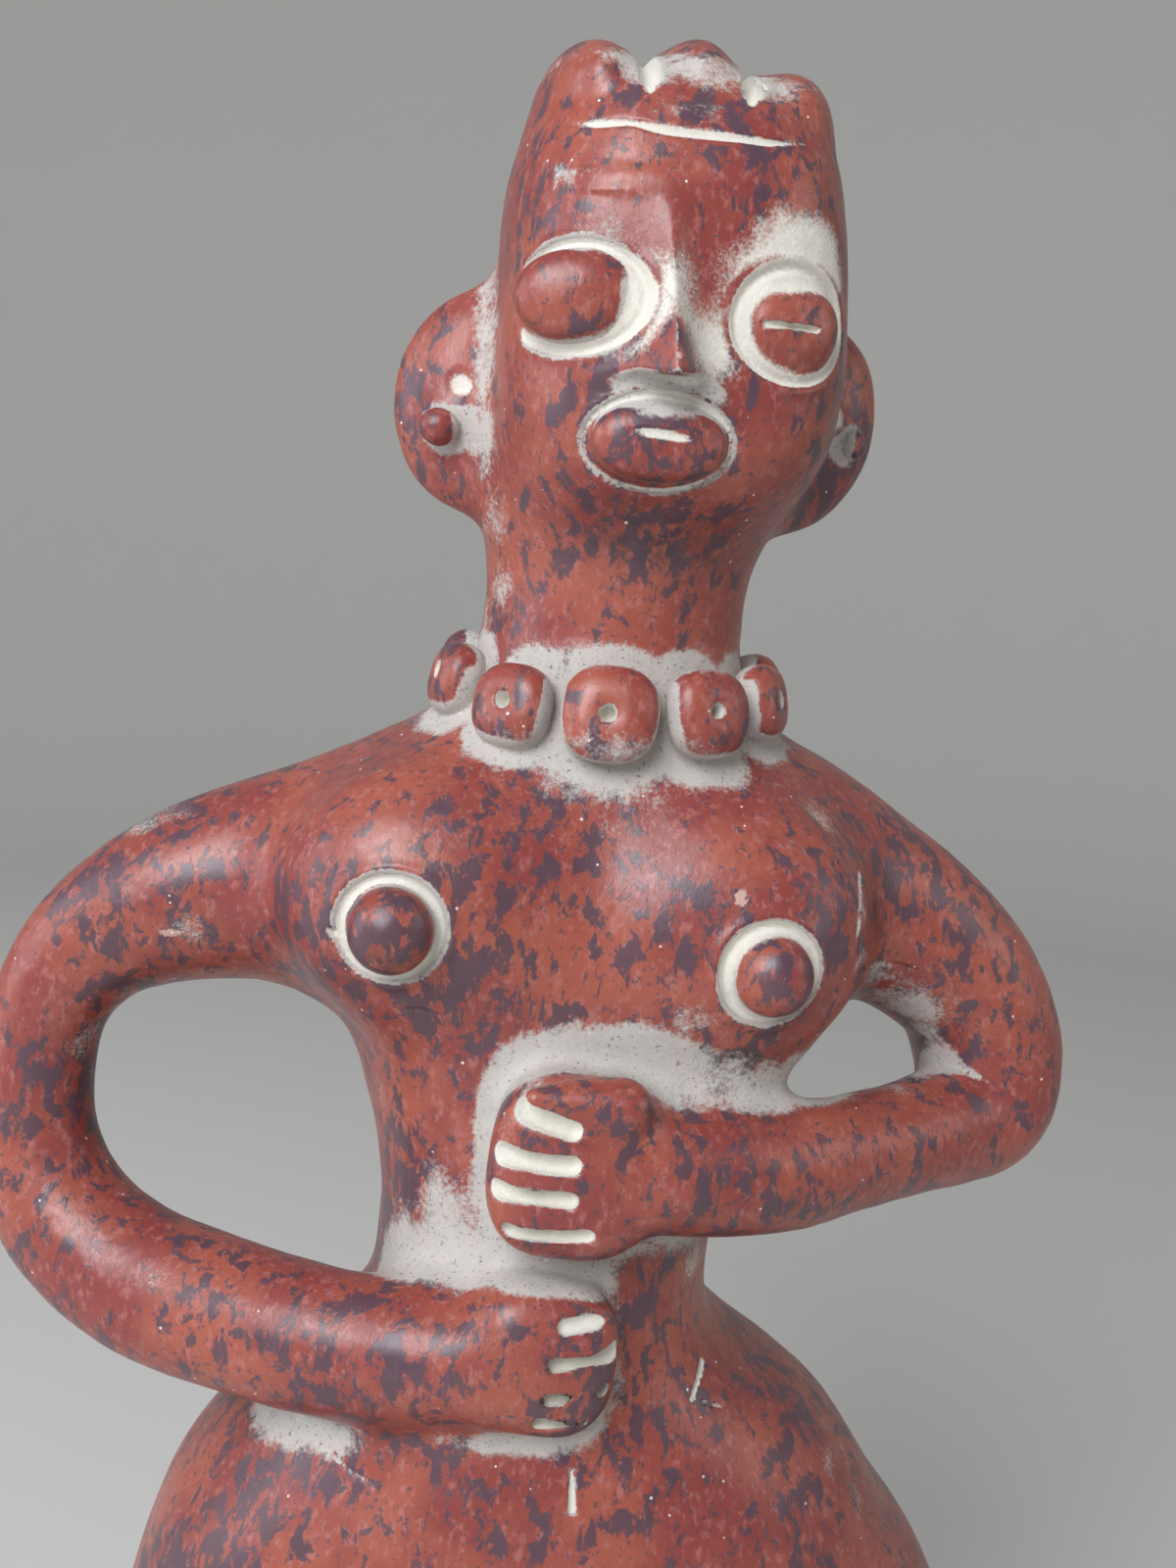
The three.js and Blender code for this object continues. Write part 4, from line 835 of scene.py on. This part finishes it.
def burnished_slip():
    n = Nodes("red_slip")
    tall = n.place((1, 1, 0.62))
    # the red slip: brick and oxblood in drifts, with a paler bloom in flecks
    drift = n.noise(16, 3, 0.55)
    red = n.mix(n.between(drift, 0.36, 0.66), (0.235, 0.043, 0.036), (0.335, 0.082, 0.052))
    fleck = n.noise(1.3, 4, 0.65, tall)
    red = n.mix(n.math("MULTIPLY", n.between(fleck, 0.50, 0.68), 0.55), red, (0.42, 0.165, 0.15))
    # dark mottles from the fire: ragged blotches that gather in drifts, and fine spots
    gather = n.noise(27, 2, 0.5, n.place(shift=(7, 3, 11)))
    level = n.math("SUBTRACT", n.noise(3.4, 6, 0.68, tall, 0.35),
                   n.math("MULTIPLY", n.math("SUBTRACT", gather, 0.5), -0.42))
    blotch = n.between(level, 0.525, 0.575)
    fine = n.between(n.noise(1.15, 3, 0.6, n.place(shift=(3, 9, 1))), 0.60, 0.66)
    mottle = n.math("MAXIMUM", blotch, n.math("MULTIPLY", fine, 0.75))
    dark = n.mix(n.noise(6, 2, 0.5, n.place(shift=(1, 2, 3))), (0.046, 0.036, 0.062), (0.085, 0.055, 0.072))
    col = n.mix(n.math("MULTIPLY", mottle, 0.86), red, dark)
    # painted shade under the nose, the chin, the upper hand, the right forearm and the right breast and down the right
    # side of the head, a dark spot low on the left nipple, and the pale scuffs
    painted_shade_and_spot = n.math("MULTIPLY", n.attribute("painted_shade_and_spot"), n.between(n.noise(2.2, 4, 0.6), 0.30, 0.62))
    # the near-black colour paints that shade onto the slip
    col = n.mix(painted_shade_and_spot, col, (0.022, 0.018, 0.020))
    scuff = n.between(n.math("ADD", n.attribute("scuff"), n.math("MULTIPLY", n.noise(0.9, 4, 0.7), 0.6)), 0.82, 0.92)
    col = n.mix(scuff, col, (0.55, 0.33, 0.29))
    # pale earth in the recesses and cuts, ragged and grainy at its edges
    ragged = n.math("ADD", n.math("MULTIPLY", n.noise(4.5, 5, 0.7, n.place(shift=(5, 1, 2))), 0.55),
                    n.math("MULTIPLY", n.noise(0.8, 3, 0.7), 0.45))
    amount = n.math("ADD", n.attribute("earth"), n.math("MULTIPLY", n.math("SUBTRACT", ragged, 0.5), 1.5))
    patch = n.between(amount, 0.36, 0.72)
    cut = n.between(n.math("ADD", n.attribute("cut"), n.math("MULTIPLY", n.math("SUBTRACT", n.noise(0.6, 3, 0.7), 0.5), 0.35)),
                    0.24, 0.46)
    pale = n.mix(n.noise(5.5, 4, 0.6), (0.42, 0.40, 0.375), (0.60, 0.575, 0.535))
    pale = n.mix(n.between(n.noise(0.75, 3, 0.7, n.place(shift=(2, 8, 5))), 0.58, 0.70), pale, (0.19, 0.165, 0.17))
    col = n.mix(n.math("MULTIPLY", patch, 0.90), col, pale)
    cream = n.mix(n.noise(2.0, 3, 0.6), (0.60, 0.56, 0.49), (0.76, 0.73, 0.66))
    col = n.mix(cut, col, cream)
    # tiny pale specks
    v = n.add("ShaderNodeTexVoronoi", {"Vector": n.place(), "Scale": 1 / 3.2})
    chance = n.add("ShaderNodeSeparateColor", {"Color": v.outputs["Color"]}).outputs[0]
    speck = n.math("MULTIPLY", n.math("LESS_THAN", v.outputs["Distance"], n.math("MULTIPLY", chance, 0.085)),
                   n.math("GREATER_THAN", chance, 0.72))
    col = n.mix(speck, col, (0.68, 0.62, 0.58))
    matt = n.math("MAXIMUM", n.math("MAXIMUM", n.math("MULTIPLY", patch, 0.9), cut), scuff)
    rough = n.math("ADD", n.math("MULTIPLY", n.noise(2.4, 4, 0.6, n.place(shift=(9, 9, 1))), 0.16), 0.27)
    rough = n.math("ADD", rough, n.math("MULTIPLY", matt, 0.45), clamp=True)
    # burnishing strokes, pores and the grain of the earth
    stroke = n.noise(1.0, 3, 0.6, n.place((0.9, 0.9, 0.22)))
    pore = n.noise(0.45, 3, 0.6)
    height = n.math("ADD", n.math("MULTIPLY", stroke, 0.05), n.math("MULTIPLY", pore, 0.022))
    height = n.math("ADD", height, n.math("MULTIPLY", mottle, 0.012))
    height = n.math("ADD", height, n.math("MULTIPLY", matt, n.math("MULTIPLY", n.noise(0.65, 4, 0.7), 0.22)))
    bump = n.add("ShaderNodeBump", {"Height": height, "Distance": 0.001, "Strength": 1.0})
    b = n.add("ShaderNodeBsdfPrincipled", {"Base Color": col, "Roughness": rough, "Normal": bump.outputs[0],
                                           "IOR": 1.52})
    n.put(n.out.inputs["Surface"], b.outputs[0])
    return n.mat


figure.data.materials.clear()
figure.data.materials.append(burnished_slip())


def backdrop():
    """A pale floor that turns up into a wall all round."""
    radius, turn, height, sides = 1.9, 0.7, 2.2, 96
    profile = [(r, 0.0) for r in np.linspace(0.02, radius - turn, 14)]
    profile += [(radius - turn + turn * math.sin(a), turn - turn * math.cos(a)) for a in np.linspace(0.08, math.pi / 2, 20)]
    profile += [(radius, z) for z in np.linspace(turn + 0.1, height, 6)]
    verts, faces = [(0.0, 0.0, 0.0)], []
    for r, z in profile:
        for k in range(sides):
            a = 2 * math.pi * k / sides
            verts.append((r * math.cos(a), r * math.sin(a), z))
    for k in range(sides):
        faces.append((0, 1 + k, 1 + (k + 1) % sides))
    for i in range(len(profile) - 1):
        for k in range(sides):
            a, b = 1 + i * sides + k, 1 + i * sides + (k + 1) % sides
            faces.append((a, a + sides, b + sides, b))
    me = bpy.data.meshes.new("floor")
    me.from_pydata(verts, [], faces)
    me.polygons.foreach_set("use_smooth", [True] * len(faces))
    me.update()
    o = bpy.data.objects.new("floor", me)
    bpy.context.collection.objects.link(o)
    n = Nodes("pale_floor")
    b = n.add("ShaderNodeBsdfPrincipled", {"Base Color": (0.66, 0.645, 0.62, 1), "Roughness": 0.75})
    n.put(n.out.inputs["Surface"], b.outputs[0])
    me.materials.append(n.mat)
    o.visible_shadow = False
    return o


backdrop()

# ---------------------------------------------------------------- light and camera


def lamp(name, azimuth, elevation, distance, size, power, colour, aim=(0.0, 0.0, 0.26)):
    a, e = math.radians(azimuth), math.radians(elevation)
    back = Vector((math.sin(a) * math.cos(e), -math.cos(a) * math.cos(e), math.sin(e)))
    data = bpy.data.lights.new(name, "AREA")
    data.shape = "DISK"
    data.size = size
    data.energy = power
    data.color = colour
    o = bpy.data.objects.new(name, data)
    o.location = Vector(aim) + back * distance
    o.rotation_euler = (-back).to_track_quat("-Z", "Y").to_euler()
    o.visible_camera = False
    bpy.context.collection.objects.link(o)
    return o


lamp("window", -34, 34, 1.15, 0.75, 15.0, (0.93, 0.96, 1.0))
lamp("left_fill", -86, 12, 1.2, 0.9, 5.0, (0.88, 0.93, 1.0))
lamp("right_fill", 70, 20, 1.3, 0.7, 1.8, (1.0, 0.96, 0.93))

world = bpy.data.worlds.new("studio")
world.use_nodes = True
sky = world.node_tree.nodes["Background"]
sky.inputs["Color"].default_value = (0.86, 0.90, 0.95, 1)
sky.inputs["Strength"].default_value = 0.30
bpy.context.scene.world = world
bpy.context.scene.view_settings.view_transform = "Standard"

# The photograph's viewpoint: close, a little above and to the left of the face,
# with the phone turned by a few degrees.
AZIMUTH, ELEVATION, ROLL, DISTANCE = math.radians(-8), math.radians(8), math.radians(5), 0.276
AIM = Vector((-0.002, 0.0, 0.271))
back = Vector((math.sin(AZIMUTH) * math.cos(ELEVATION), -math.cos(AZIMUTH) * math.cos(ELEVATION), math.sin(ELEVATION)))
right0 = Vector((math.cos(AZIMUTH), math.sin(AZIMUTH), 0))
up0 = back.cross(right0)
right = right0 * math.cos(ROLL) + up0 * math.sin(ROLL)
up = up0 * math.cos(ROLL) - right0 * math.sin(ROLL)
cam_data = bpy.data.cameras.new("camera")
cam_data.lens = 36.0
cam_data.sensor_width = 36.0
cam_data.sensor_fit = "AUTO"
cam_data.clip_start, cam_data.clip_end = 0.01, 20
cam = bpy.data.objects.new("camera", cam_data)
m = Matrix((right, up, back)).transposed().to_4x4()
m.translation = AIM + back * DISTANCE
cam.matrix_world = m
bpy.context.collection.objects.link(cam)
bpy.context.scene.camera = cam
